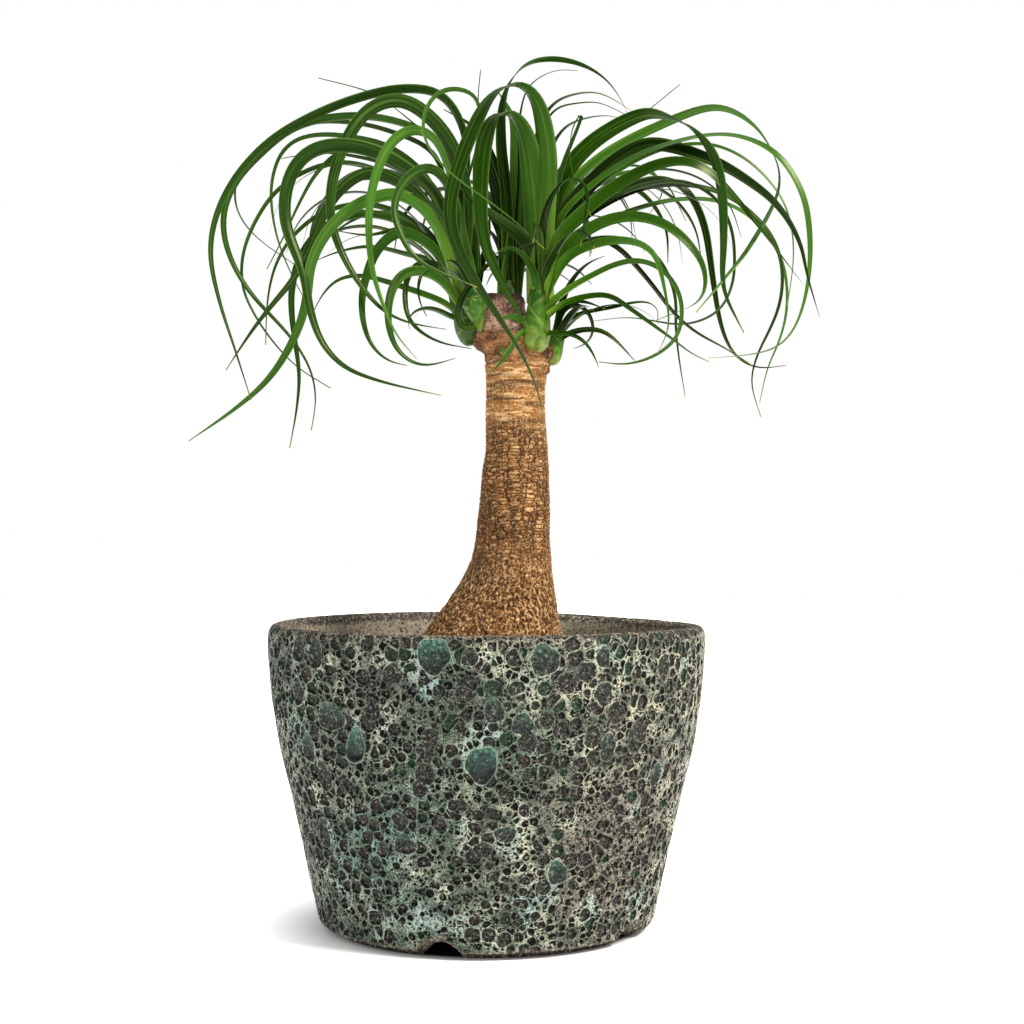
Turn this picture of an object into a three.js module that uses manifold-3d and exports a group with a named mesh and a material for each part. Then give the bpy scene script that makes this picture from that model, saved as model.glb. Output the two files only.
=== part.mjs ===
import * as THREE from "three";
import { mergeVertices } from "three/addons/utils/BufferGeometryUtils.js";
import Module from "manifold-3d";

// Ponytail palm in a lava-glazed pot. Millimetres, +Z up, front of the plant towards -Y.
// The origin is the centre of the pot's foot, on the surface that the pot stands on.

const wasm = await Module();
wasm.setup();

// Driving sizes.
const GAP = 0.35;
const POT_FLOOR = 20;
const RECESS = 12;
const FOOT_INNER = 112;
const NOTCH_COUNT = 5;
const NOTCH_WIDTH = 38;
const NOTCH_HEIGHT = 11.5;
const NOTCH_FIRST_DEG = 255;
const SOIL_TOP = 214;
const SOIL_CROWN = 218;
const POT_SIDES = 40;
const TRUNK_SIDES = 24;
const PIT_SIDES = 6;
const RULED_PITS = 20;
const BLADE_THICKNESS = 0.9;
const TIP_HALF_WIDTH = 0.65;

// The front eye point. Leaf routes are read across and up in the plane through the pot's axis,
// and each point is then pushed along its line of sight to its depth, so it keeps its place.
const EYE = new THREE.Vector3(21, -1550, 341);

// Outer side of the pot from the foot to the top of the lip: radius, height.
const POT_OUTER = [
  [126, 0], [127, 5], [137, 5.6], [138.4, 8], [143.8, 32], [151.8, 70], [161, 110], [170.6, 149],
  [176.8, 188], [179.7, 221], [180.2, 234], [180, 243.5], [177.6, 248.2], [173.5, 249.5],
];
// Broad pits that large bubbles left in the glaze of the front, one row each: bearing in degrees
// from +X towards the back, height, half width, half height, depth.
const PITS = [
  [258.2, 235, 12.7, 13, 3.2], [269.5, 154, 12, 14, 4.2], [235.8, 164, 8.5, 14, 3.8],
  [284.5, 231.5, 11, 11.5, 2.6], [291.3, 68, 7.5, 9.5, 3.2], [224, 232, 8, 12, 3],
  [228.5, 185, 14, 11, 2.2], [241.9, 193, 7, 9, 2.4], [266.7, 234, 6.5, 7, 2.2],
  [265.3, 206, 7, 6, 2.2], [295.5, 222, 8, 8, 2.4], [300.2, 205, 8, 9, 2.4],
  [297.7, 172, 7, 9, 2.4], [302.6, 164, 6.5, 11, 2.4], [257, 174, 6.5, 7, 2.2],
  [255.5, 164, 7, 7.5, 2.2], [255.2, 146, 7.5, 9, 2.4], [253.3, 134, 6.5, 6.5, 2.2],
  [280.8, 170, 7.5, 8, 2.2], [279.4, 184, 8, 8, 2.2], [272.6, 194, 7.5, 9, 2.6],
  [263.2, 122, 7.5, 5.5, 2.4], [246.5, 108, 7, 7.5, 2.2], [216.5, 89, 8, 12, 2.4],
  [217.3, 158, 9, 12, 2.6], [222.8, 137, 8, 12, 2.4], [322.3, 137, 7, 9, 2.6],
  [247.6, 90, 9, 8, 2], [269.7, 88, 7, 6, 2], [304, 189, 8, 9, 2.4],
  [290.3, 214, 8, 8, 2.2], [275.8, 100, 8, 6, 2], [313, 176, 8, 10, 2.4],
  [248, 221, 8, 8, 2.4], [215.5, 201, 8, 11, 2.6], [216.8, 234, 8, 10, 2.6],
  [285.3, 187, 6, 6, 2], [299.7, 232, 6, 8, 2.2], [320, 222, 7, 10, 2.4],
];
// Inside of the pot from the lip down to its floor.
const POT_INNER = [
  [168.8, 246], [167.2, 236], [165.5, 200], [150, 116], [128, 32], [110, POT_FLOOR],
];

// Trunk stations: height, centre across, centre depth, half width, half depth.
const TRUNK = [
  [92, 6, 4, 20, 20],
  [106, 4, 3, 50, 47],
  [140, 2, 1, 73, 69],
  [180, 3, 0, 77, 74],
  [205, 4, 0, 71, 69],
  [225, 5, 0, 63.5, 62],
  [241, 6.7, 0, 55.8, 55],
  [254, 10, 0, 50, 49],
  [266, 14, 0, 44.6, 44],
  [277, 16.8, 0, 39.6, 40.2],
  [288, 19, 0, 36.2, 37],
  [301, 20.8, 0, 32.4, 33],
  [318, 22, 0, 30.3, 30.5],
  [351, 23.3, 0, 28.3, 28],
  [376, 23.9, 0, 27, 27],
  [392, 24.7, 0, 25.1, 25.5],
  [416, 23.7, 0, 24.3, 24.8],
  [442, 23.5, 0, 23.5, 24],
  [454, 24.6, 0, 25.2, 25],
  [463, 25.2, 0, 26, 26.5],
  [469, 24.6, 0, 26.6, 27],
  [473, 22, 1, 30.5, 29.5],
  [478, 19.8, 1.5, 32.6, 30.5],
  [484, 16.5, 1, 29.5, 27.5],
  [489, 13.5, 0, 24.5, 24],
  [495, 12.3, 0, 20.6, 20.5],
  [517, 12, 0, 19.2, 19.5],
  [521, 12, 0, 16, 16.5],
];

// Leafy heads: foot and neck of each shoot base as across, up, depth, and its half width.
const HEADS = {
  left: { foot: [-12, 480, 0], neck: [-29, 536, -4], radius: 10 },
  front: { foot: [-4, 489, -18], neck: [-13, 528, -27], radius: 10 },
  right: { foot: [38.5, 472, -10], neck: [45, 535, -22], radius: 13.5 },
  side: { foot: [49, 459, 2], neck: [61, 494, 4], radius: 7.5 },
  back: { foot: [18, 468, 22], neck: [19, 540, 42], radius: 12 },
};

// One row a leaf: head, full width, where it leaves the shoot base (0 foot, 1 neck), depth half
// way and at the tip, turn of the blade in degrees (0 broadside to the front, 90 edge on), and
// its route as across, up pairs.
const LEAVES = [
  ["left", 10, 1, [10, -30], [60, 45, 30, 30],
    [-20, 600, -19, 655, -38, 688, -70, 693, -105, 686, -142, 672, -180, 650, -210, 618, -226, 585,
      -230, 555, -222, 515, -210, 478, -196, 434]],
  ["left", 9, 1, [40, 15], [70, 45, 30, 30],
    [-30, 620, -42, 650, -70, 664, -100, 670, -130, 669, -162, 660, -190, 637, -208, 617, -218, 595,
      -219, 573, -211, 547, -194, 520, -175, 500, -158, 480, -146, 458, -142, 435, -146, 409]],
  ["left", 5, 1, [70, 50], [60, 50, 60],
    [-32, 600, -45, 640, -78, 657, -112, 665, -150, 664, -186, 647, -205, 625, -210, 605, -206, 588,
      -192, 570, -160, 547]],
  ["left", 13, 1, [-24, -62], [30, 25, 15, 20, 30, 40],
    [-17, 590, -27, 640, -46, 668, -72, 684, -98, 676, -117, 650, -128, 618, -130, 588, -122, 560,
      -105, 530, -85, 508, -66, 499, -34, 493]],
  ["left", 10, 1, [-72, -100], [70, 60, 20, 10, 20, 40],
    [-27, 590, -34, 630, -46, 654, -62, 659, -78, 650, -90, 628, -97, 600, -98, 570, -95, 542,
      -86, 513, -76, 490, -58, 468]],
  ["left", 10, 1, [-92, -96], [60, 30, 20, 20],
    [-23, 575, -30, 608, -45, 627, -62, 623, -74, 607, -77, 590, -71, 571, -60, 553, -40, 541,
      -20, 533, -8, 528]],
  ["left", 6, 1, [95, 110], [50, 60, 40],
    [-40, 600, -58, 628, -84, 646, -112, 653, -140, 655, -160, 650, -172, 638, -179, 615, -179, 595,
      -174, 568, -164, 542, -150, 515]],
  ["left", 13, 1, [-56, -92], [50, 25, 20, 30, 40],
    [-43, 603, -70, 628, -100, 643, -130, 646, -150, 639, -163, 622, -168, 600, -167, 580, -160, 560,
      -152, 540, -148, 515, -138, 484, -120, 463, -92, 451, -38, 438]],
  ["left", 7, 1, [30, 40], [50, 45], [-46, 605, -78, 628, -110, 637, -140, 640, -171, 635]],
  ["left", 5, 1, [55, 20], [50, 50, 40],
    [-50, 600, -85, 623, -120, 632, -150, 625, -175, 608, -192, 584, -203, 555, -203, 528, -193, 505,
      -178, 483, -158, 462, -130, 444]],
  ["left", 6, 1, [-20, -28], [60, 45, 40],
    [-45, 612, -85, 636, -118, 642, -140, 625, -156, 598, -168, 572, -183, 543]],
  ["left", 11, 1, [-16, -30], [45, 20, 30, 30],
    [-46, 588, -72, 615, -98, 624, -122, 609, -137, 586, -147, 562, -160, 536, -178, 514, -193, 495,
      -206, 476, -217, 459]],
  ["left", 11, 0.9, [-66, 14], [40, 30, 30, 30],
    [-36, 562, -50, 590, -73, 605, -100, 600, -122, 586, -138, 566, -147, 544, -149, 522, -155, 498,
      -168, 471, -184, 449, -208, 428, -248, 400]],
  ["left", 9, 0.9, [-4, -14], [60, 40, 25, 30],
    [-42, 558, -72, 582, -105, 589, -135, 578, -154, 555, -162, 528, -162, 503, -159, 480, -156, 455,
      -158, 428, -164, 394]],
  ["left", 6, 0.9, [62, 70], [60, 40],
    [-50, 572, -92, 596, -132, 592, -160, 572, -175, 548, -182, 520, -184, 480]],
  ["left", 10, 0.8, [-34, -60], [40, 20, 30],
    [-36, 548, -53, 567, -72, 574, -89, 562, -99, 541, -104, 515, -101, 492, -93, 476, -80, 466,
      -66, 463]],
  ["left", 9, 0.7, [-66, -64], [40, 20, 30, 40],
    [-35, 530, -52, 541, -68, 540, -78, 528, -82, 510, -81, 493, -75, 477, -63, 466, -50, 463,
      -26, 469]],
  ["left", 7, 0.5, [-36, -44], [50, 60], [-30, 503, -41, 509, -52, 511, -62, 507, -67, 500, -64, 493]],
  ["left", 6, 0.8, [-26, -62], [60, 40, 50],
    [-42, 547, -57, 548, -66, 536, -68, 518, -65, 502, -55, 491, -38, 482, -13, 477]],
  ["left", 6, 0.5, [-18, -34], [60, 50, 50],
    [-34, 514, -52, 522, -75, 530, -95, 536, -108, 538, -125, 534, -138, 520, -144, 508]],
  ["left", 5, 0.9, [-14, -16], [40, 50], [-42, 550, -51, 545, -57, 531, -56, 516, -50, 504]],
  ["left", 7, 0.8, [26, 30], [50, 50], [-46, 549, -66, 555, -84, 560, -100, 562, -125, 557, -145, 549]],
  ["left", 6, 0.9, [-22, -26], [50, 50], [-46, 566, -66, 577, -82, 575, -97, 571, -125, 575]],
  ["left", 8, 0.9, [44, 60], [50, 40], [-46, 570, -70, 586, -95, 590, -118, 580, -136, 566]],
  ["left", 4, 1, [2, 0], [60, 60], [-27, 600, -33, 632, -46, 651, -64, 667, -89, 687]],
  ["left", 7, 1, [-64, -122], [80, 60, 60, 50],
    [-20, 600, -7, 655, -9, 686, -25, 693, -40, 690, -50, 677, -53, 662, -50, 648, -42, 636, -26, 620,
      -4, 604, 20, 586, 48, 560]],
  ["left", 4, 1, [80, 120], [60, 60], [-26, 620, -45, 664, -75, 681, -105, 693, -140, 702]],
  ["front", 8, 0.35, [-46, -52], [40, 40, 50],
    [-19, 494, -24, 505, -21, 518, -11, 533, 1, 547, 14, 556, 28, 561, 40, 566]],
  ["front", 9, 0.9, [-30, -32], [20, 10], [-9, 550, -9, 575, -4, 604]],
  ["front", 11, 1, [-48, -62], [30, 40], [-17, 550, -30, 577, -47, 598, -66, 607]],
  ["front", 10, 1, [-46, -50], [20, 20], [-15, 548, -20, 576, -19, 606]],
  ["front", 8, 0.9, [-30, -30], [30, 30], [-4, 548, 2, 572, 2, 592]],
  ["right", 17, 1, [-74, -62], [15, 25, 90, 150, 165, 165, 150, 140],
    [47, 580, 50, 625, 48, 655, 43, 678, 35, 693, 25, 698, 12, 694, 1, 683, -9, 664, -20, 638,
      -28, 612, -31, 592, -28, 572, -20, 552, -8, 531, 8, 506, 22, 484, 34, 460, 45, 428]],
  ["right", 21, 1, [-58, -52], [15, 25, 80, 150, 165, 160, 140],
    [40, 580, 37, 620, 33, 648, 26, 667, 16, 674, 7, 671, 0, 655, -4, 632, -5, 605, -4, 580, 1, 557,
      9, 539, 20, 518, 38, 489]],
  ["right", 8, 1, [-70, -86], [40, 60, 90, 60],
    [54, 590, 63, 630, 75, 660, 80, 674, 73, 665, 69, 645, 71, 625, 79, 604, 87, 587]],
  ["right", 15, 1, [-66, -96], [20, 15, 20, 90, 160, 165, 150],
    [53, 590, 66, 623, 82, 643, 100, 657, 120, 668, 136, 673, 150, 669, 164, 665, 176, 655, 187, 641,
      193, 624, 196, 604, 197, 582, 197, 560, 196, 540, 198, 523, 214, 490]],
  ["right", 11, 1, [-6, -116], [40, 30, 40, 90, 150, 165],
    [62, 600, 90, 632, 122, 652, 150, 665, 172, 674, 190, 678, 206, 674, 224, 661, 236, 644, 243, 627,
      243, 610, 236, 592, 226, 574, 214, 555, 200, 538, 186, 521, 174, 507]],
  ["right", 9, 1, [-70, -112], [50, 55, 60, 30, 20, 50, 70],
    [62, 585, 95, 618, 125, 637, 155, 648, 180, 654, 202, 655, 222, 650, 240, 640, 254, 623, 264, 602,
      268, 580, 269, 555, 266, 525, 256, 494, 243, 479, 225, 473, 184, 469]],
  ["right", 15, 1, [-56, -126], [20, 20, 30, 50],
    [57, 578, 75, 601, 95, 622, 115, 638, 135, 647, 153, 645, 173, 639, 195, 630, 218, 616, 238, 600,
      253, 580, 262, 560, 266, 540, 277, 503]],
  ["right", 5, 1, [16, -20], [50, 50],
    [70, 590, 110, 625, 150, 644, 185, 647, 210, 638, 232, 620, 247, 599, 254, 575, 255, 550,
      250, 512]],
  ["right", 8, 1, [-12, -30], [50, 45, 40, 30],
    [62, 565, 92, 592, 130, 610, 168, 613, 200, 604, 222, 588, 236, 572, 244, 553, 246, 533, 243, 512,
      235, 492, 226, 474, 220, 450, 228, 420]],
  ["right", 8, 0.9, [34, 44], [50, 50, 40, 30],
    [62, 552, 92, 578, 125, 593, 160, 601, 195, 599, 220, 586, 238, 565, 247, 545, 250, 520, 248, 500,
      242, 480, 234, 462, 227, 432]],
  ["right", 12, 0.9, [-44, -56], [25, 25, 20, 50, 140],
    [62, 556, 82, 574, 102, 584, 122, 587, 142, 583, 158, 574, 171, 561, 180, 546, 182, 530, 178, 518,
      168, 511, 154, 506, 140, 500]],
  ["right", 10, 0.85, [-88, -92], [30, 30, 50, 60],
    [66, 551, 88, 563, 110, 567, 128, 564, 139, 556, 144, 543, 148, 525, 151, 508, 151, 493,
      142, 473]],
  ["right", 9, 0.7, [-52, -74], [60, 50, 50, 40],
    [66, 524, 88, 537, 106, 546, 124, 550, 140, 546, 153, 535, 161, 519, 162, 503, 159, 489, 150, 478,
      135, 469, 115, 464, 93, 466]],
  ["right", 6, 0.95, [-30, -42], [50, 40],
    [68, 556, 92, 568, 109, 561, 124, 546, 140, 527, 156, 506, 175, 490, 197, 478, 221, 463]],
  ["right", 6, 0.55, [-78, -90], [50, 40],
    [62, 513, 82, 520, 102, 521, 118, 511, 135, 499, 157, 483, 170, 473, 185, 466]],
  ["right", 7, 1, [-16, -38], [50, 50, 60],
    [72, 580, 118, 608, 162, 616, 190, 602, 203, 578, 206, 550, 204, 530, 195, 511, 180, 501, 160, 497,
      140, 500, 118, 503, 89, 500]],
  ["right", 7, 0.95, [-22, -30], [50, 40],
    [70, 560, 105, 569, 135, 559, 150, 540, 157, 518, 157, 497, 159, 475, 165, 437]],
  ["right", 10, 1, [14, 0], [50, 40, 20, 20, 40],
    [62, 568, 90, 592, 118, 611, 142, 618, 162, 612, 174, 597, 182, 575, 186, 550, 190, 522, 194, 500,
      200, 482, 209, 469, 225, 461, 249, 463]],
  ["right", 12, 1, [-78, -40], [20, 20, 30, 60],
    [60, 568, 78, 588, 100, 607, 122, 621, 145, 631, 165, 633, 182, 627, 198, 612, 214, 594, 230, 574,
      246, 553, 264, 529]],
  ["right", 8, 1, [56, 80], [50, 30], [70, 590, 104, 620, 134, 624, 152, 611, 159, 597, 166, 583]],
  ["right", 8, 1, [86, 110], [50, 30], [72, 600, 108, 628, 136, 626, 147, 611, 143, 599, 136, 590]],
  ["right", 11, 1, [-84, -94], [30, 60, 120, 150],
    [47, 575, 55, 604, 68, 619, 79, 617, 84, 605, 82, 588, 78, 562]],
  ["right", 9, 0.7, [-52, -60], [40, 50], [40, 536, 34, 550, 26, 559, 17, 562, 4, 553]],
  ["right", 7, 0.45, [-50, -56], [30, 30], [30, 490, 22, 479, 13, 467, 4, 457]],
  ["right", 6, 0.5, [-44, -44], [60, 60], [31, 499, 21, 503, 9, 499]],
  ["right", 13, 0.95, [-46, -44], [30, 40], [36, 560, 20, 577, 2, 590, -16, 604, -28, 618]],
  ["right", 7, 0.35, [-38, -36], [50, 40], [52, 489, 64, 490, 76, 487, 84, 480, 89, 472, 93, 462]],
  ["right", 9, 0.5, [-40, -46], [40, 50], [56, 509, 68, 516, 82, 516, 98, 510]],
  ["side", 6, 0.9, [-8, -10], [50, 50], [70, 490, 84, 493, 96, 492, 106, 485, 123, 467]],
  ["side", 8, 1, [-12, -22], [40, 50, 60], [63, 508, 73, 514, 83, 509, 88, 499, 88, 488, 82, 480, 72, 477]],
  ["side", 5, 1, [4, 4], [60, 60], [69, 502, 86, 508, 104, 511, 120, 515, 135, 516, 144, 509, 142, 501]],
  ["side", 8, 1, [4, 12], [40, 50], [63, 516, 71, 534, 84, 548, 98, 554]],
  ["back", 11, 1, [30, 12], [20, 20, 90, 150, 110, 100],
    [17, 600, 12, 650, 14, 684, 22, 703, 34, 714, 52, 718, 70, 716, 86, 710, 100, 700, 110, 687,
      117, 673]],
  ["back", 9, 1, [34, 24], [50, 50], [38, 620, 44, 662, 57, 682, 75, 689, 92, 690, 106, 684, 120, 675]],
  ["back", 5, 1, [44, 40], [60, 60], [36, 610, 44, 655, 58, 677, 75, 681, 92, 682, 117, 671]],
  ["back", 9, 1, [56, 60], [50, 50], [40, 600, 52, 640, 66, 662, 84, 669, 100, 671, 114, 668]],
  ["back", 4, 1, [60, 70], [50, 50], [6, 600, -6, 660, -7, 690, -5, 709]],
  ["back", 4, 1, [22, 16], [60, 60], [27, 620, 27, 665, 34, 694, 46, 704, 60, 709, 76, 708]],
  ["back", 4, 1, [70, 90], [50, 50], [60, 610, 92, 645, 120, 664, 161, 697]],
  ["back", 13, 1, [40, 52], [15, 30], [26, 590, 31, 632, 27, 672, 14, 690]],
  ["back", 11, 1, [56, 70], [25, 40], [21, 590, 17, 630, 8, 662]],
  ["back", 11, 1, [60, 84], [40, 40], [12, 590, 3, 628, -10, 660, -36, 676]],
];

// Whorls that the front hides, one row a set: head, number, first bearing and sweep of bearings
// in degrees (0 to the right, 90 to the back), least and most length, first and last rise.
const WHORLS = [
  ["back", 11, 22, 138, 186, 252, 85, -106],
  ["back", 4, 10, 160, 90, 160, 70, -70],
  ["left", 4, 134, 40, 200, 290, 78, -96],
  ["left", 2, 150, 50, 90, 150, 50, -55],
  ["right", 4, -4, 50, 180, 250, 76, -96],
  ["front", 2, 232, 24, 60, 84, 44, -60],
  ["side", 2, -60, 90, 60, 90, 40, -60],
  ["right", 2, 266, 44, 90, 130, 50, -60],
  ["back", 4, 52, 76, 120, 180, 88, -20],
];

const draw = (n) => {
  const v = Math.sin(n * 12.9898 + 4.137) * 43758.5453;
  return v - Math.floor(v);
};

const seen = (x, z, depth) => {
  const k = 1 + depth / -EYE.y;
  return new THREE.Vector3(EYE.x + (x - EYE.x) * k, depth, EYE.z + (z - EYE.z) * k);
};

const solidOf = (geometry) => {
  const bare = geometry.clone();
  bare.deleteAttribute("normal");
  bare.deleteAttribute("uv");
  const merged = mergeVertices(bare, 1e-4);
  return new wasm.Manifold(
    new wasm.Mesh({
      numProp: 3,
      vertProperties: new Float32Array(merged.attributes.position.array),
      triVerts: new Uint32Array(merged.index.array),
    }),
  );
};

// The one outer body of a solid: hollows that the joined blades seal are filled.
const whole = (solid) => {
  const bodies = solid.decompose();
  return bodies.reduce((best, body) => (body.volume() > best.volume() ? body : best));
};

const geometryOf = (solid) => {
  const mesh = solid.getMesh();
  const geometry = new THREE.BufferGeometry();
  geometry.setAttribute("position", new THREE.BufferAttribute(mesh.vertProperties.slice(), 3));
  geometry.setIndex(new THREE.BufferAttribute(mesh.triVerts.slice(), 1));
  geometry.computeVertexNormals();
  return geometry;
};

const turned = (profile, sides) => {
  const points = profile.map(([r, z]) => new THREE.Vector2(r, z));
  const geometry = new THREE.LatheGeometry(points, sides);
  geometry.rotateX(Math.PI / 2);
  return geometry;
};

// Pot: one turned wall, foot and floor, with a recess under it and arched notches in the foot.
const potProfile = [
  [0, RECESS], [FOOT_INNER, RECESS], [FOOT_INNER + 1, 0], ...POT_OUTER, ...POT_INNER, [0, POT_FLOOR],
];
let pot = solidOf(turned(potProfile, POT_SIDES));
const arch = new THREE.Shape();
arch.moveTo(-NOTCH_WIDTH / 2, -5);
arch.lineTo(NOTCH_WIDTH / 2, -5);
for (let k = 0; k <= 10; k++) {
  const across = 1 - k / 5;
  arch.lineTo((across * NOTCH_WIDTH) / 2, NOTCH_HEIGHT * (1 - across * across));
}
for (let i = 0; i < NOTCH_COUNT; i++) {
  const notch = new THREE.ExtrudeGeometry(arch, { depth: 55, bevelEnabled: false });
  notch.rotateX(Math.PI / 2);
  notch.translate(0, 155, 0);
  const bearing = NOTCH_FIRST_DEG + (i * 360) / NOTCH_COUNT - 90;
  notch.rotateZ(THREE.MathUtils.degToRad(bearing));
  pot = pot.subtract(solidOf(notch));
}

// The pits are shallow bowls pressed square to the wall. Those of the back, which the front
// doesn't show, are spread by rule, at the same sizes.
const pits = [...PITS];
for (let k = 0; k < RULED_PITS; k++) {
  pits.push([
    (338 + 228 * ((k * 0.618034) % 1)) % 360,
    50 + 178 * ((k * 0.754878) % 1),
    7.5 + 4 * draw(k + 1.1),
    8 + 5 * draw(k + 2.7),
    2.3 + 1.3 * draw(k + 5.2),
  ]);
}
const wallAt = (height) => {
  const i = POT_OUTER.findIndex(([, z]) => z > height);
  const [[r0, z0], [r1, z1]] = [POT_OUTER[i - 1], POT_OUTER[i]];
  const f = (height - z0) / (z1 - z0);
  return { radius: r0 + (r1 - r0) * f, slope: Math.atan2(z1 - z0, r1 - r0) - Math.PI / 2 };
};
pits.forEach(([bearing, height, halfWidth, halfHeight, depth]) => {
  const { radius, slope } = wallAt(height);
  const bowl = new THREE.SphereGeometry(1, PIT_SIDES, 4);
  bowl.rotateZ(-Math.PI / 2);
  bowl.scale(depth, halfWidth, halfHeight);
  bowl.rotateY(-slope);
  bowl.translate(radius, 0, height);
  bowl.rotateZ(THREE.MathUtils.degToRad(bearing));
  pot = pot.subtract(solidOf(bowl));
});

// Trunk: rings lofted from the buried swollen base to the cut stub, with low lobes on the base
// and a small step at each ring of leaf scars.
const trunkLoft = (grow) => {
  const positions = [];
  const index = [];
  const ring = (row) => row * TRUNK_SIDES;
  TRUNK.forEach(([z, cx, cy, rx, ry], row) => {
    const scar = row > 11 && row < 25 ? 0.45 * (draw(row) - 0.5) : 0;
    const lobe = z < 300 ? 0.022 : 0.009;
    for (let i = 0; i < TRUNK_SIDES; i++) {
      const a = (i * 2 * Math.PI) / TRUNK_SIDES;
      const wave = 1 + lobe * (Math.sin(3 * a + z / 55) + 0.6 * Math.sin(5 * a - z / 37));
      positions.push(
        cx + (rx * wave + scar + grow) * Math.cos(a),
        cy + (ry * wave + scar + grow) * Math.sin(a),
        z,
      );
    }
  });
  const low = positions.length / 3;
  positions.push(TRUNK[0][1], TRUNK[0][2], TRUNK[0][0] - 2 - grow);
  const high = low + 1;
  const last = TRUNK.length - 1;
  positions.push(TRUNK[last][1], TRUNK[last][2], TRUNK[last][0] + 1.2 + grow);
  for (let i = 0; i < TRUNK_SIDES; i++) {
    const j = (i + 1) % TRUNK_SIDES;
    index.push(low, ring(0) + j, ring(0) + i);
    index.push(high, ring(last) + i, ring(last) + j);
    for (let row = 0; row < last; row++) {
      index.push(ring(row) + i, ring(row) + j, ring(row + 1) + j);
      index.push(ring(row) + i, ring(row + 1) + j, ring(row + 1) + i);
    }
  }
  const geometry = new THREE.BufferGeometry();
  geometry.setAttribute("position", new THREE.Float32BufferAttribute(positions, 3));
  geometry.setIndex(index);
  return geometry;
};
let trunk = solidOf(trunkLoft(0));

// Soil: fills the pot to below the lip, with a plain hole for the swollen base.
const soilWall = POT_INNER.filter(([, z]) => z < SOIL_TOP).reverse();
const soilRim = [[0, POT_FLOOR + GAP]];
soilWall.forEach(([r, z]) => soilRim.push([r - GAP, z + GAP]));
soilRim.push([165.4, SOIL_TOP], [0, SOIL_CROWN]);
const soil = solidOf(turned(soilRim, POT_SIDES)).subtract(solidOf(trunkLoft(GAP)));

// Shoot base: a short bulbous green stem turned about the line from its foot to its neck.
const shootBase = (head, grow) => {
  const foot = seen(...head.foot);
  const axis = seen(...head.neck).sub(foot);
  const length = axis.length();
  const swell = [[0.08, 0.82], [0.32, 1], [0.7, 0.78], [1, 0.5]];
  const profile = [[0, -grow]];
  profile.push([0.5 * head.radius + grow, -grow]);
  swell.forEach(([f, r]) => profile.push([r * head.radius + grow, f * length]));
  profile.push([0, length * 1.03 + grow]);
  const geometry = turned(profile, 11);
  const turn = new THREE.Quaternion().setFromUnitVectors(new THREE.Vector3(0, 0, 1), axis.normalize());
  geometry.applyQuaternion(turn);
  geometry.translate(foot.x, foot.y, foot.z);
  return geometry;
};

const taper = (s) => {
  if (s < 0.22) return 0.8 + 0.2 * Math.sin((s / 0.22) * (Math.PI / 2));
  return 1 - 0.93 * ((s - 0.22) / 0.78) ** 1.6;
};

const rollAt = (rolls, t) => {
  const place = t * (rolls.length - 1);
  const i = Math.min(Math.floor(place), rolls.length - 2);
  return THREE.MathUtils.degToRad(rolls[i] + (rolls[i + 1] - rolls[i]) * (place - i));
};

// Blade: a flat strap along its route, with both faces split alike, narrowing to its tip.
const blade = (route, width, rolls, side, steps) => {
  const curve = new THREE.CatmullRomCurve3(route, false, "centripetal");
  const points = curve.getPoints(steps);
  const travelled = [0];
  for (let i = 1; i <= steps; i++) travelled.push(travelled[i - 1] + points[i].distanceTo(points[i - 1]));
  const positions = [];
  const index = [];
  for (let i = 0; i <= steps; i++) {
    const tangent = curve.getTangent(i / steps);
    const across = new THREE.Vector3().crossVectors(tangent, side).normalize();
    const outward = side.clone().addScaledVector(tangent, -side.dot(tangent)).normalize();
    const roll = rollAt(rolls, i / steps);
    const wide = across.multiplyScalar(Math.cos(roll)).addScaledVector(outward, Math.sin(roll));
    const thin = new THREE.Vector3().crossVectors(tangent, wide).normalize();
    const half = Math.max(TIP_HALF_WIDTH, (width / 2) * taper(travelled[i] / travelled[steps]));
    [[1, 1], [-1, 1], [-1, -1], [1, -1]].forEach(([w, t]) => {
      const corner = points[i].clone();
      corner.addScaledVector(wide, w * half).addScaledVector(thin, (t * BLADE_THICKNESS) / 2);
      positions.push(corner.x, corner.y, corner.z);
    });
  }
  for (let i = 0; i < steps; i++) {
    const a = 4 * i;
    const b = a + 4;
    index.push(a, a + 1, b + 1, a, b + 1, b);
    index.push(a + 1, a + 2, b + 2, a + 1, b + 2, b + 1);
    index.push(a + 2, a + 3, b + 2, a + 3, b + 3, b + 2);
    index.push(a + 3, a, b, a + 3, b, b + 3);
  }
  const end = 4 * steps;
  index.push(0, 3, 2, 0, 2, 1, end, end + 1, end + 2, end, end + 2, end + 3);
  const geometry = new THREE.BufferGeometry();
  geometry.setAttribute("position", new THREE.Float32BufferAttribute(positions, 3));
  geometry.setIndex(index);
  return solidOf(geometry);
};

const alongBase = (head, f) => seen(...head.foot).lerp(seen(...head.neck), f);

// Route of a leaf that the front shows: out of its shoot base, then through its read points.
const readRoute = ([name, , leave, [middle, tip], , flat]) => {
  const head = HEADS[name];
  const route = [alongBase(head, leave * 0.86)];
  const count = flat.length / 2;
  const lengths = [0];
  for (let i = 1; i < count; i++) {
    const dx = flat[2 * i] - flat[2 * i - 2];
    const dz = flat[2 * i + 1] - flat[2 * i - 1];
    lengths.push(lengths[i - 1] + Math.hypot(dx, dz));
  }
  const start = route[0].y;
  for (let i = 0; i < count; i++) {
    const s = 0.12 + (0.88 * lengths[i]) / lengths[count - 1];
    const depth = start * (1 - s) * (1 - 2 * s) + 4 * middle * s * (1 - s) + tip * s * (2 * s - 1);
    route.push(seen(flat[2 * i], flat[2 * i + 1], depth));
  }
  return route;
};

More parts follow.
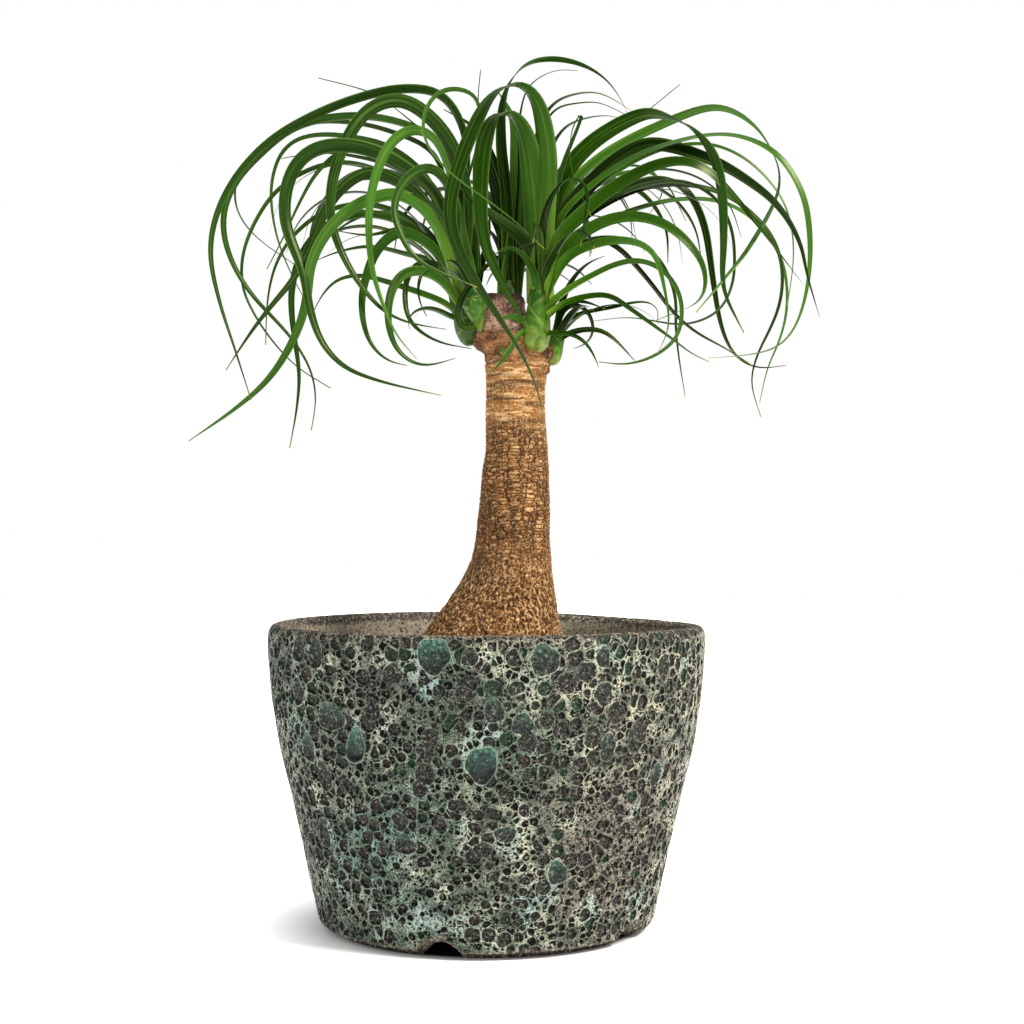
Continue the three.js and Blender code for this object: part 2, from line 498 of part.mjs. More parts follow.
// Route of a hidden leaf: it rises from the shoot base and bends over under its own weight.
const whorlRoute = (head, bearing, length, rise, fall, key) => {
  const route = [alongBase(head, 0.84)];
  const out = new THREE.Vector3(Math.cos(bearing), Math.sin(bearing), 0);
  const swirl = (draw(key + 0.7) - 0.5) * 0.5;
  let here = alongBase(head, 0.98).addScaledVector(out, head.radius * 0.4);
  const hops = 8;
  for (let k = 0; k < hops; k++) {
    const f = (k + 0.5) / hops;
    const angle = THREE.MathUtils.degToRad(rise + (fall - rise) * f ** 1.4);
    const a = bearing + swirl * f;
    const step = new THREE.Vector3(
      Math.cos(a) * Math.cos(angle),
      Math.sin(a) * Math.cos(angle),
      Math.sin(angle),
    );
    here = here.clone().addScaledVector(step, length / hops);
    route.push(here);
  }
  return route;
};

const straps = [];
const VIEW = new THREE.Vector3(0, 1, 0);
LEAVES.forEach((leaf) => {
  const steps = THREE.MathUtils.clamp(Math.round(0.6 * (leaf[5].length / 2)) + 1, 5, 12);
  straps.push({ head: leaf[0], solid: blade(readRoute(leaf), leaf[1], leaf[4], VIEW, steps) });
});
WHORLS.forEach(([name, count, first, sweep, shortest, longest, rise, fall], set) => {
  for (let i = 0; i < count; i++) {
    const key = 31 * set + i + 1;
    const share = (i * 0.618034 + draw(key) * 0.08) % 1;
    const bearing = THREE.MathUtils.degToRad(first + sweep * share);
    const length = shortest + (longest - shortest) * draw(key + 0.3);
    const up = rise + 14 * (draw(key + 0.5) - 0.5);
    const route = whorlRoute(HEADS[name], bearing, length, up, fall + 20 * draw(key + 0.9), key);
    const side = new THREE.Vector3(-Math.sin(bearing), Math.cos(bearing), 0);
    const lean = 50 * (draw(key + 0.2) - 0.5);
    const width = Math.min(13, 6 + length / 50);
    const rolls = [90, 90 + lean, 90 + 1.6 * lean];
    straps.push({ head: name, solid: blade(route, width, rolls, side, length > 200 ? 6 : 5) });
  }
});

const heads = {};
Object.entries(HEADS).forEach(([name, head]) => {
  trunk = trunk.subtract(solidOf(shootBase(head, GAP)));
  heads[name] = solidOf(shootBase(head, 0));
});
straps.forEach(({ head, solid }) => {
  heads[head] = heads[head].add(solid);
});

const plant = new THREE.Group();
const place = (name, solid, color, roughness) => {
  const material = new THREE.MeshStandardMaterial({ color, roughness, metalness: 0 });
  const mesh = new THREE.Mesh(geometryOf(solid), material);
  mesh.name = name;
  plant.add(mesh);
};
place("pot", pot, 0x5a5550, 0.45);
place("soil", soil, 0x3a2d22, 0.95);
place("trunk", trunk, 0xb98a4e, 0.85);
Object.entries(heads).forEach(([name, solid]) => place(`leaf_head_${name}`, whole(solid), 0x3f7a1e, 0.45));

export default plant;
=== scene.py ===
import math

import bpy
import numpy as np
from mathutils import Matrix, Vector


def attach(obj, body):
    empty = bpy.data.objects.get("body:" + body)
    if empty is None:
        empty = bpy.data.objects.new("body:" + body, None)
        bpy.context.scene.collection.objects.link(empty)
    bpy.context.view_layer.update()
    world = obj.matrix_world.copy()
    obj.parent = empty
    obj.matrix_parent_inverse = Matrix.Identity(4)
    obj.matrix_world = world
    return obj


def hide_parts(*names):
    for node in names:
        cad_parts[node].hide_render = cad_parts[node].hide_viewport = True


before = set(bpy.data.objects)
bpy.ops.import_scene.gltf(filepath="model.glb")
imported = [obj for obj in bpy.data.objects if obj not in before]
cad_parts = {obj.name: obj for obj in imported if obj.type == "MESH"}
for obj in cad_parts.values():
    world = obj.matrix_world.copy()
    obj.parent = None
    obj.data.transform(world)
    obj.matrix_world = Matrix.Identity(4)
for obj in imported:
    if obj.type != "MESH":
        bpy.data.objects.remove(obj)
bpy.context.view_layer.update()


# Studio: a white table top under a white sky, with a high soft key light from the right and a
# weaker fill from the left. The camera stands in front and looks level at the trunk's middle.

# Sizes are in mm unless a comment says metres, and MM turns them into metres.
MM = 0.001


def linear(hex_colour):
    """An sRGB hex colour turned to linear, with full alpha."""
    parts = [int(hex_colour[i : i + 2], 16) / 255 for i in (1, 3, 5)]
    return tuple(c / 12.92 if c <= 0.04045 else ((c + 0.055) / 1.055) ** 2.4 for c in parts) + (1,)


def add(tree, kind, inputs=(), **settings):
    """Adds one node with its settings; an input is given a value, or another node's output."""
    made = tree.nodes.new(kind)
    for name, value in settings.items():
        setattr(made, name, value)
    for key, value in dict(inputs).items():
        if isinstance(value, bpy.types.NodeSocket):
            tree.links.new(value, made.inputs[key])
        else:
            is_colour = isinstance(value, str) and value.startswith("#")
            made.inputs[key].default_value = linear(value) if is_colour else value
    return made


def coats(tree, under, laid):
    """Colours laid over one another. Each coat has a value, the two places of that value between
    which the coat comes in, its greatest share, and its colour."""
    for value, low, high, most, colour in laid:
        share = {"Value": value, "From Min": low, "From Max": high, "To Max": most}
        share = add(tree, "ShaderNodeMapRange", share).outputs[0]
        mix = {0: share, 6: under, 7: colour}
        under = add(tree, "ShaderNodeMix", mix, data_type="RGBA").outputs[2]
    return under


def finish_surface(name, **sockets):
    """A material with one Principled shader, whose uniform values are set on its own sockets."""
    material = bpy.data.materials.new(name)
    material.use_nodes = True
    shader = material.node_tree.nodes["Principled BSDF"]
    for socket, value in sockets.items():
        shader.inputs[socket.replace("_", " ")].default_value = value
    return material, material.node_tree, shader


EYE_MM = (21, -1550, 341)
EYE = Vector(EYE_MM) * MM
# Width of the view in the plane through the pot's axis, and of the camera's sensor.
FRAME_WIDTH = 852 * MM
SENSOR = 36
camera = bpy.data.objects.new("camera", bpy.data.cameras.new("camera"))
bpy.context.scene.collection.objects.link(camera)
camera.location = EYE
camera.rotation_euler = (math.pi / 2, 0, 0)
camera.data.sensor_width = SENSOR
camera.data.lens = SENSOR * -EYE.y / FRAME_WIDTH
bpy.context.scene.camera = camera
bpy.context.scene.view_settings.view_transform = "Standard"


def shine(name, kind, energy, place, aim, size, colour="#ffffff"):
    """A lamp that points from its place at its aim, with a sun's spread or a panel's side."""
    lamp = bpy.data.objects.new(name, bpy.data.lights.new(name, kind))
    bpy.context.scene.collection.objects.link(lamp)
    lamp.data.energy = energy
    lamp.data.color = linear(colour)[:3]
    if kind == "SUN":
        lamp.data.angle = size
    else:
        lamp.data.size = size
    lamp.location = place
    lamp.rotation_euler = (Vector(aim) - Vector(place)).to_track_quat("-Z", "Y").to_euler()


# The lamps' places, their aims and the panel's side are in metres.
shine("key", "SUN", 4.65, (1.6, -1.0, 2.1), (0, 0, 0), math.radians(16), "#fffaf2")
shine("fill", "SUN", 0.4, (-1.6, -1.4, 0.9), (0, 0, 0.3), math.radians(60), "#f4f8ff")
shine("overhead", "AREA", 7, (-0.1, 0.1, 1.9), (0, 0, 0.5), 1.4)

# The sky is seen as pure white, and lights the plant with only a share of that.
SKY_SEEN = 1.0
SKY_LIGHT = 0.315
sky = bpy.data.worlds.new("studio")
sky.use_nodes = True
background = sky.node_tree.nodes["Background"]
background.inputs["Color"].default_value = linear("#ffffff")
camera_ray = add(sky.node_tree, "ShaderNodeLightPath").outputs["Is Camera Ray"]
brightness = {0: camera_ray, 2: SKY_LIGHT, 3: SKY_SEEN}
brightness = add(sky.node_tree, "ShaderNodeMix", brightness, data_type="FLOAT").outputs[0]
sky.node_tree.links.new(brightness, background.inputs["Strength"])
bpy.context.scene.world = sky

# The table is white paint with painted light and painted shade: it glows round the pot, a
# painted light that lightens the pot's cast shadow, and it is painted dark under the pot as
# painted shade. Measured from the pot's axis, the painted shade is full up to one distance and
# ends at the next, and the glow comes in between the last two. All are in metres, as is half
# the table's side.
PAINTED_SHADE_TO = 0.122
PAINTED_SHADE_END = 0.134
GLOW_FROM = 0.122
GLOW_FULL = 0.19
TABLE_GLOW = 0.8
HALF_TABLE = 6.0
table_paint, table_tree, table_shader = finish_surface(
    "white_table_painted_glow", Roughness=0.75, Emission_Color=linear("#ffffff")
)
spot = add(table_tree, "ShaderNodeTexCoord").outputs["Object"]
from_axis = add(table_tree, "ShaderNodeVectorMath", {0: spot}, operation="LENGTH").outputs[1]
glow = {"Value": from_axis, "From Min": GLOW_FROM, "From Max": GLOW_FULL, "To Max": TABLE_GLOW}
glow = add(table_tree, "ShaderNodeMapRange", glow).outputs[0]
# Painted light: the table glows round the pot, which lightens the shadow the pot casts on it.
table_tree.links.new(glow, table_shader.inputs["Emission Strength"])
# Painted shade: the table is painted dark under the pot's foot, so the notches look black.
table_colour = coats(table_tree, "#f2f2f2", [(from_axis, PAINTED_SHADE_END, PAINTED_SHADE_TO, 1.0, "#1a1a1a")])
table_tree.links.new(table_colour, table_shader.inputs["Base Color"])
table_mesh = bpy.data.meshes.new("table_top")
corners = ((-1, -1), (1, -1), (1, 1), (-1, 1))
corners = [(x * HALF_TABLE, y * HALF_TABLE, 0) for x, y in corners]
table_mesh.from_pydata(corners, [], [(0, 1, 2, 3)])
table_mesh.materials.append(table_paint)
table = bpy.data.objects.new("table_top", table_mesh)
bpy.context.scene.collection.objects.link(table)


# Pot: thrown stoneware under a lava glaze, whose bubbles burst in the kiln and left pits of all
# sizes with a thin pale net between them. The lip, the inside and the foot are bare clay, and
# arched notches are cut through the foot. The wall is turned, then the pits are pressed in.

# The pot's line as radius and height: up its outside to the lip, and down its inside.
POT_OUTER = [
    (126, 0), (127, 5), (137, 5.6), (138.4, 8), (143.8, 32), (151.8, 70), (161, 110),
    (170.6, 149), (176.8, 188), (179.7, 221), (180.2, 234), (180, 243.5), (177.6, 248.2),
    (173.5, 249.5),
]
POT_INNER = [(168.8, 246), (167.2, 236), (165.5, 200), (150, 116), (128, 32), (110, 20)]
POT_COLUMNS = 600
# Rows of points: under the foot, up the glazed wall, and over the lip.
FOOT_ROWS = 5
WALL_ROWS = 138
LIP_ROWS = 14
FOOT_INNER = 113
FOOT_OUTER = 138
RECESS = 12
# The notches of the foot: a notch stretches the wall over it up to NOTCH_FADE.
NOTCH_COUNT = 5
NOTCH_WIDTH = 38
NOTCH_HEIGHT = 11.5
NOTCH_FIRST_DEG = 255
NOTCH_FADE = 40
# How far the rim sinks at the back right, where in degrees, how wide in radians, and the height
# from which the wall sinks with it, over how much.
RIM_DROOP = 3.6
DROOP_DEG = 32
DROOP_SPREAD = 0.7
DROOP_FROM = 225
DROOP_OVER = 24
# The glaze runs between these heights and thins out over its last few mm.
GLAZE_LOW = 6.5
GLAZE_HIGH = 248.6
# Glass pools and broad pits: bearing in degrees, height, half width, half height, lean in
# degrees, depth, and how far the pool is filled with teal glass (0 bare, 1 full).
POOLS = [
    (258.2, 235, 12.7, 13, 0, 3.2, 0.75), (269.5, 154, 12, 14, 6, 4.2, 1.0),
    (235.8, 164, 8.5, 14, 16, 3.8, 1.0), (284.5, 231.5, 11, 11.5, 0, 2.6, 0.4),
    (291.3, 68, 7.5, 9.5, -12, 3.2, 0.7), (224, 232, 8, 12, 4, 3.0, 0.2),
    (228.5, 185, 14, 11, 0, 2.2, 0.3), (241.9, 193, 7, 9, 0, 2.4, 0),
    (266.7, 234, 6.5, 7, 0, 2.2, 0.1), (265.3, 206, 7, 6, 0, 2.2, 0),
    (295.5, 222, 8, 8, 0, 2.4, 0.05), (300.2, 205, 8, 9, 0, 2.4, 0.1),
    (297.7, 172, 7, 9, 0, 2.4, 0), (302.6, 164, 6.5, 11, 0, 2.4, 0.2),
    (257, 174, 6.5, 7, 0, 2.2, 0), (255.5, 164, 7, 7.5, 0, 2.2, 0),
    (255.2, 146, 7.5, 9, 0, 2.4, 0), (253.3, 134, 6.5, 6.5, 0, 2.2, 0),
    (280.8, 170, 7.5, 8, 0, 2.2, 0.05), (279.4, 184, 8, 8, 0, 2.2, 0.4),
    (272.6, 194, 7.5, 9, -8, 2.6, 0.3), (263.2, 122, 7.5, 5.5, 0, 2.4, 0),
    (246.5, 108, 7, 7.5, 0, 2.2, 0.1), (216.5, 89, 8, 12, 0, 2.4, 0.1),
    (217.3, 158, 9, 12, 0, 2.6, 0.3), (222.8, 137, 8, 12, 0, 2.4, 0.1),
    (322.3, 137, 7, 9, 0, 2.6, 0.5), (247.6, 90, 9, 8, 0, 2.0, 0.2),
    (269.7, 88, 7, 6, 0, 2.0, 0), (304, 189, 8, 9, 0, 2.4, 0),
    (290.3, 214, 8, 8, 0, 2.2, 0), (275.8, 100, 8, 6, 0, 2.0, 0.3),
    (313, 176, 8, 10, 0, 2.4, 0), (248, 221, 8, 8, 0, 2.4, 0),
    (215.5, 201, 8, 11, 0, 2.6, 0.1), (216.8, 234, 8, 10, 0, 2.6, 0.1),
    (285.3, 187, 6, 6, 0, 2.0, 0), (299.7, 232, 6, 8, 0, 2.2, 0.3),
    (320, 222, 7, 10, 0, 2.4, 0.1),
]
# Pools and broad pits of the back, which the photograph doesn't show. Their bearings and heights
# are spread evenly by the golden ratio and its like for two measures.
RULED_POOLS = 20
GOLDEN = 0.618034
PLASTIC = 0.754878
# Milky patches where the glaze ran thick: bearing, height, radius, and from cream (0) to blue (1).
MILKY = [
    (253, 224, 13, 0.6), (257, 214, 10, 1.0), (281.5, 213, 16, 0.0), (304.5, 231, 15, 0.1),
    (311, 224, 12, 0.1), (298, 240, 9, 0.0), (267.5, 172, 11, 0.6), (272, 178, 9, 0.8),
    (265.5, 108, 11, 0.3), (276.5, 93, 11, 0.7), (283, 44, 13, 1.0), (289.5, 56, 11, 0.8),
    (251.5, 34, 13, 0.8), (261, 30, 10, 0.6), (325, 32, 15, 0.7), (222, 48, 14, 0.5),
    (219, 92, 9, 0.7), (316, 110, 8, 0.5), (238, 178, 10, 0.4), (247, 238, 8, 0.2),
    (330, 228, 14, 0.3), (237, 26, 12, 0.6), (304, 34, 12, 0.5), (20, 200, 26, 0.2),
    (70, 80, 24, 0.7), (120, 190, 30, 0.3), (160, 60, 26, 0.6), (350, 120, 20, 0.4),
    (95, 225, 18, 0.1), (45, 40, 20, 0.8),
]
# Dry patch, low at the right of the front, where the glaze is thin, brown and fine grained: its
# middle, in metres.
DRY_PATCH = (0.104, -0.114, 0.088)


def draw(n):
    """A fixed random number from 0 to 1 for each n."""
    v = math.sin(n * 12.9898 + 4.137) * 43758.5453
    return v - math.floor(v)


def new_mesh_object(name, points, faces):
    """A smooth mesh object from points in mm."""
    mesh = bpy.data.meshes.new(name)
    mesh.from_pydata([tuple(p) for p in np.asarray(points) * MM], [], faces)
    mesh.polygons.foreach_set("use_smooth", [True] * len(mesh.polygons))
    made = bpy.data.objects.new(name, mesh)
    bpy.context.scene.collection.objects.link(made)
    return made


def store(mesh, name, values, kind="FLOAT"):
    """A value for each point of a mesh, kept under a name for its material and its node tree."""
    attribute = mesh.attributes.new(name, kind, "POINT")
    field = "vector" if kind == "FLOAT_VECTOR" else "value"
    attribute.data.foreach_set(field, np.asarray(values, np.float32).ravel())


def closed_faces(rows, columns):
    """Quads between rings of points, given from the bottom outwards and up, and a fan at each end
    to the two points that come after the rings, first the low one and then the high one."""
    faces = []
    for row in range(rows - 1):
        a = row * columns
        for i in range(columns):
            j = (i + 1) % columns
            faces.append((a + i, a + j, a + columns + j, a + columns + i))
    low, high, last = rows * columns, rows * columns + 1, (rows - 1) * columns
    for i in range(columns):
        j = (i + 1) % columns
        faces += [(low, j, i), (high, last + i, last + j)]
    return faces


def smooth_profile(points, steps):
    """Points evenly spaced along a profile whose corners are rounded by a running mean."""
    samples, window = 1500, 21
    points = np.asarray(points, float)
    gone = np.concatenate([[0], np.cumsum(np.hypot(*np.diff(points, axis=0).T))])
    fine = np.linspace(0, gone[-1], samples)
    line = np.stack([np.interp(fine, gone, points[:, k]) for k in (0, 1)], 1)
    ends = ((window // 2, window // 2), (0, 0))
    padded = np.pad(line, ends, mode="reflect", reflect_type="odd")
    kernel = np.hanning(window + 2)[1:-1]
    kernel /= kernel.sum()
    line = np.stack([np.convolve(padded[:, k], kernel, "valid") for k in (0, 1)], 1)
    at = np.linspace(0, 1, steps) * (len(line) - 1)
    return np.stack([np.interp(at, np.arange(len(line)), line[:, k]) for k in (0, 1)], 1)


def apart(angle, bearing):
    """How far each angle lies from a bearing, the short way round, in radians."""
    return (angle - bearing + math.pi) % (2 * math.pi) - math.pi


def notch_lift(angle):
    """How high the notch arches lift the foot's lower edge at each bearing."""
    lift = np.zeros_like(angle)
    for i in range(NOTCH_COUNT):
        off = apart(angle, math.radians(NOTCH_FIRST_DEG + i * 360 / NOTCH_COUNT))
        reach = np.clip(1 - (off * FOOT_OUTER / (NOTCH_WIDTH / 2)) ** 2, 0, 1)
        lift = np.maximum(lift, NOTCH_HEIGHT * reach)
    return lift


wall = smooth_profile(POT_OUTER[3:], WALL_ROWS)
lip = smooth_profile([POT_OUTER[-1], *POT_INNER[:3]], LIP_ROWS)[1:]
profile = [(FOOT_INNER - 1, RECESS), (FOOT_INNER, 0), *POT_OUTER[:3]]
profile = np.asarray([*profile, *wall, *lip, *POT_INNER[3:]])
turn = np.linspace(0, 2 * math.pi, POT_COLUMNS, endpoint=False)
lift = notch_lift(turn)
radius = np.repeat(profile[:, :1], POT_COLUMNS, 1)
height = np.repeat(profile[:, 1:], POT_COLUMNS, 1)
# The notches push the foot and the wall over it up, and the wall keeps its line as it rises.
outside = np.arange(len(profile))[:, None] <= FOOT_ROWS + WALL_ROWS
stretched = height + lift * np.clip(1 - height / NOTCH_FADE, 0, 1) ** 1.5
raised = np.where(outside & (height < NOTCH_FADE), stretched, height)
raised[0] = RECESS
wall_part = slice(FOOT_ROWS, FOOT_ROWS + WALL_ROWS)
radius[wall_part] = np.interp(raised[wall_part], wall[:, 1], wall[:, 0])
droop = RIM_DROOP * np.exp(-((apart(turn, math.radians(DROOP_DEG)) / DROOP_SPREAD) ** 2))
height = raised - droop * np.clip((raised - DROOP_FROM) / DROOP_OVER, 0, 1)
pot_points = np.stack([radius * np.cos(turn), radius * np.sin(turn), height], 2).reshape(-1, 3)
pot_points = np.vstack([pot_points, [0, 0, RECESS], [0, 0, POT_INNER[-1][1]]])
pot_faces = closed_faces(len(profile), POT_COLUMNS)

# What the glaze does at each point: its share, the depth of the broad pits, how full of glass they
# are, how low in a pool the point lies, and how far inside a pool's edge it is, in mm.
glazed = np.zeros(len(pot_points))
row_of = np.repeat(np.arange(len(profile)), POT_COLUMNS)
on_wall = (row_of >= FOOT_ROWS) & (row_of < FOOT_ROWS + WALL_ROWS)
ring_height = pot_points[: len(row_of), 2]
fade = np.clip((GLAZE_HIGH + 1.5 - ring_height) / 3, 0, 1)
fade *= np.clip((ring_height - np.tile(lift, len(profile)) - GLAZE_LOW) / 2, 0, 1)
glazed[: len(row_of)] = np.where(on_wall, fade, 0)
hollow = np.zeros(len(pot_points))
glass = np.zeros(len(pot_points))
sag = np.zeros(len(pot_points))
pool_edge = np.full(len(pot_points), -9.0)
inside_wall = np.arange(len(pot_points)) // POT_COLUMNS > FOOT_ROWS + 1 + WALL_ROWS
bearing = np.degrees(np.arctan2(pot_points[:, 1], pot_points[:, 0])) % 360
out = np.hypot(pot_points[:, 0], pot_points[:, 1])


def from_spot(where, z):
    """How far each point of the pot lies across and up from a spot on its wall."""
    across = np.radians((bearing - where + 180) % 360 - 180) * out
    return across, pot_points[:, 2] - z


pools = list(POOLS)
for k in range(RULED_POOLS):
    where = (338 + 228 * (k * GOLDEN % 1)) % 360
    z = 50 + 178 * (k * PLASTIC % 1)
    half_width, half_height = 7.5 + 4 * draw(k + 1.1), 8 + 5 * draw(k + 2.7)
    depth, fill = 2.3 + 1.3 * draw(k + 5.2), max(0.0, 1.5 * draw(k + 6.4) - 0.5)
    pools.append((where, z, half_width, half_height, 0, depth, fill))
for where, z, half_width, half_height, lean, depth, fill in pools:
    across, up = from_spot(where, z)
    c, s = math.cos(math.radians(lean)), math.sin(math.radians(lean))
    reach = np.hypot((across * c - up * s) / half_width, (across * s + up * c) / half_height)
    swing = np.arctan2(up, across)
    reach = reach / (1 + 0.07 * np.sin(3 * swing + where) + 0.05 * np.sin(5 * swing + z))
    inside = np.clip((1 - reach) / 0.28, 0, 1)
    inside = inside * inside * (3 - 2 * inside) * (glazed > 0)
    hollow = np.maximum(hollow, depth * inside)
    sag = np.where(reach < 1.1, 0.5 - 0.5 * up / half_height, sag)
    pool_edge = np.maximum(pool_edge, (1 - reach) * min(half_width, half_height))
    filled = (0.02 + fill) * np.clip((1.25 - reach) / 0.3, 0, 1) * (glazed > 0)
    glass = np.maximum(glass, filled)

milk = np.zeros(len(pot_points))
milk_blue = np.zeros(len(pot_points))
for where, z, size, blue in MILKY:
    across, up = from_spot(where, z)
    swing = np.arctan2(up, across)
    edge = size * (1 + 0.28 * np.sin(3 * swing + z) + 0.18 * np.sin(7 * swing + where))
    near = np.clip(1.3 - np.hypot(across, up) / edge, 0, 1)
    milk_blue = np.where(near > milk, blue, milk_blue)
    milk = np.maximum(milk, near)

# Pit sizes: spacing, share of the cells blown, radius over spacing, depth, and how much the share
# grows per metre up the wall.
PIT_SIZES = [
    (12.5, 0.74, 0.50, 2.4, 2.2), (7.0, 0.88, 0.50, 1.6, 0.9),
    (3.8, 0.94, 0.48, 1.0, 0.0), (2.0, 0.9, 0.47, 0.5, 0.0),
]
# Pits spaced closer than this are the fine ones, which are darker.
FINE_PITS = 8
# The shares hold at this height, in metres, and a broad noise from 0 to 1 moves them by so much.
HALF_WAY = 0.13
CROWDING = 1.5


def lava_pits(tree, at, pool_edge):
    """Burst bubbles in four sizes, beside the pools, whose edge is pool_edge mm further out; each
    smaller size fills what the larger ones leave. Gives the share of pit floor, of net beside a
    pit, the depth in mm, a colour per pit, and the share of the small pits' floor. The pools'
    edges wander over 17 mm, and the pits crowd together and thin out over 71 mm."""
    ragged = {"Vector": at, "Scale": 60.0, "Detail": 4.0}
    ragged = add(tree, "ShaderNodeTexNoise", ragged).outputs[0]
    pool_gap = {0: ragged, 1: 3.0, 2: pool_edge}
    pool_gap = add(tree, "ShaderNodeMath", pool_gap, operation="MULTIPLY_ADD").outputs[0]
    floor = {"Value": pool_gap, "From Min": 1.4, "From Max": 1.9}
    floor = add(tree, "ShaderNodeMapRange", floor).outputs[0]
    net = {"Value": pool_gap, "From Min": 0.3, "From Max": 1.2}
    net = add(tree, "ShaderNodeMapRange", net).outputs[0]
    free = add(tree, "ShaderNodeMath", {0: 1.0, 1: net}, operation="SUBTRACT").outputs[0]
    deep, fine, tint = 0.0, 0.0, (0.5, 0.5, 0.5, 1)
    crowd = {"Vector": at, "Scale": 14.0, "Detail": 1.0}
    crowd = add(tree, "ShaderNodeTexNoise", crowd).outputs[0]
    high = add(tree, "ShaderNodeSeparateXYZ", {0: at}).outputs[2]
    for cell, share, reach, depth, rise in PIT_SIZES:
        cells = {"Vector": at, "Scale": 1 / (cell * MM), "Randomness": 0.92}
        near = add(tree, "ShaderNodeTexVoronoi", cells)
        edge = add(tree, "ShaderNodeTexVoronoi", cells, feature="DISTANCE_TO_EDGE")
        # A cell is blown where its own chance is under the limit for that place.
        chance = add(tree, "ShaderNodeSeparateXYZ", {0: near.outputs["Color"]})
        limit = {0: crowd, 1: CROWDING, 2: share - CROWDING / 2 - HALF_WAY * rise}
        limit = add(tree, "ShaderNodeMath", limit, operation="MULTIPLY_ADD").outputs[0]
        limit = {0: high, 1: rise, 2: limit}
        limit = add(tree, "ShaderNodeMath", limit, operation="MULTIPLY_ADD").outputs[0]
        blown = {0: chance.outputs[0], 1: limit}
        blown = add(tree, "ShaderNodeMath", blown, operation="LESS_THAN").outputs[0]
        allowed = add(tree, "ShaderNodeMath", {0: blown, 1: free}, operation="MULTIPLY").outputs[0]
        # Distance inside the pit's edge in mm: a circle of its own size, cut off at the cell's.
        size = {0: chance.outputs[1], 1: 0.2 * cell, 2: (reach - 0.1) * cell}
        size = add(tree, "ShaderNodeMath", size, operation="MULTIPLY_ADD").outputs[0]
        gap_round = {0: near.outputs["Distance"], 1: -cell, 2: size}
        gap_round = add(tree, "ShaderNodeMath", gap_round, operation="MULTIPLY_ADD").outputs[0]
        gap_edge = {0: edge.outputs["Distance"], 1: cell, 2: -0.25 - 0.02 * cell}
        gap_edge = add(tree, "ShaderNodeMath", gap_edge, operation="MULTIPLY_ADD").outputs[0]
        within = {0: gap_round, 1: gap_edge, 2: 0.14 * cell}
        within = add(tree, "ShaderNodeMath", within, operation="SMOOTH_MIN").outputs[0]
        pit, sunk, edge_band = (
            add(
                tree,
                "ShaderNodeMapRange",
                {"Value": within, "From Min": start, "From Max": full, "To Max": most},
                interpolation_type="SMOOTHSTEP",
            ).outputs[0]
            for start, full, most in (
                (-0.1, 0.35, 1.0), (-0.2, 0.13 * cell, depth), (-0.6 - 0.02 * cell, -0.15, 1.0)
            )
        )
        pit = add(tree, "ShaderNodeMath", {0: pit, 1: allowed}, operation="MULTIPLY").outputs[0]
        deep = {0: sunk, 1: allowed, 2: deep}
        deep = add(tree, "ShaderNodeMath", deep, operation="MULTIPLY_ADD").outputs[0]
        band = {0: edge_band, 1: allowed}
        band = add(tree, "ShaderNodeMath", band, operation="MULTIPLY").outputs[0]
        floor = add(tree, "ShaderNodeMath", {0: pit, 1: floor}, operation="MAXIMUM").outputs[0]
        net = add(tree, "ShaderNodeMath", {0: band, 1: net}, operation="MAXIMUM").outputs[0]
        free = add(
            tree, "ShaderNodeMath", {0: free, 1: band}, operation="SUBTRACT", use_clamp=True
        ).outputs[0]
        tint = {0: pit, 6: tint, 7: near.outputs["Color"]}
        tint = add(tree, "ShaderNodeMix", tint, data_type="RGBA").outputs[2]
        if cell < FINE_PITS:
            fine = add(tree, "ShaderNodeMath", {0: fine, 1: pit}, operation="MAXIMUM").outputs[0]
    return floor, net, deep, tint, fine


def node_group(name, inputs):
    """An empty Geometry Nodes group with a geometry in and out, and named inputs."""
    group = bpy.data.node_groups.new(name, "GeometryNodeTree")
    group.interface.new_socket("Geometry", in_out="OUTPUT", socket_type="NodeSocketGeometry")
    group.interface.new_socket("Geometry", in_out="INPUT", socket_type="NodeSocketGeometry")
    for label, kind in inputs.items():
        group.interface.new_socket(label, in_out="INPUT", socket_type="NodeSocket" + kind)
    return group, add(group, "NodeGroupInput")


def close_group(group, geometry, material):
    """The end of every tree: real meshes, smooth, with their material."""
    real = add(group, "GeometryNodeRealizeInstances", {0: geometry})
    soft = add(group, "GeometryNodeSetShadeSmooth", {0: real.outputs[0]})
    clad = add(group, "GeometryNodeSetMaterial", {0: soft.outputs[0], "Material": material})
    add(group, "NodeGroupOutput", {0: clad.outputs[0]})


def grown(source, name, group, values):
    """Runs a tree on an object and keeps the result as a plain mesh object."""
    modifier = source.modifiers.new("grow", "NODES")
    modifier.node_group = group
    for socket in group.interface.items_tree:
        if socket.in_out == "INPUT" and socket.name in values:
            modifier[socket.identifier] = values[socket.name]
    view = bpy.context.evaluated_depsgraph_get()
    mesh = bpy.data.meshes.new_from_object(source.evaluated_get(view), depsgraph=view)
    made = bpy.data.objects.new(name, mesh)
    bpy.context.scene.collection.objects.link(made)
    bpy.data.objects.remove(source)
    return made


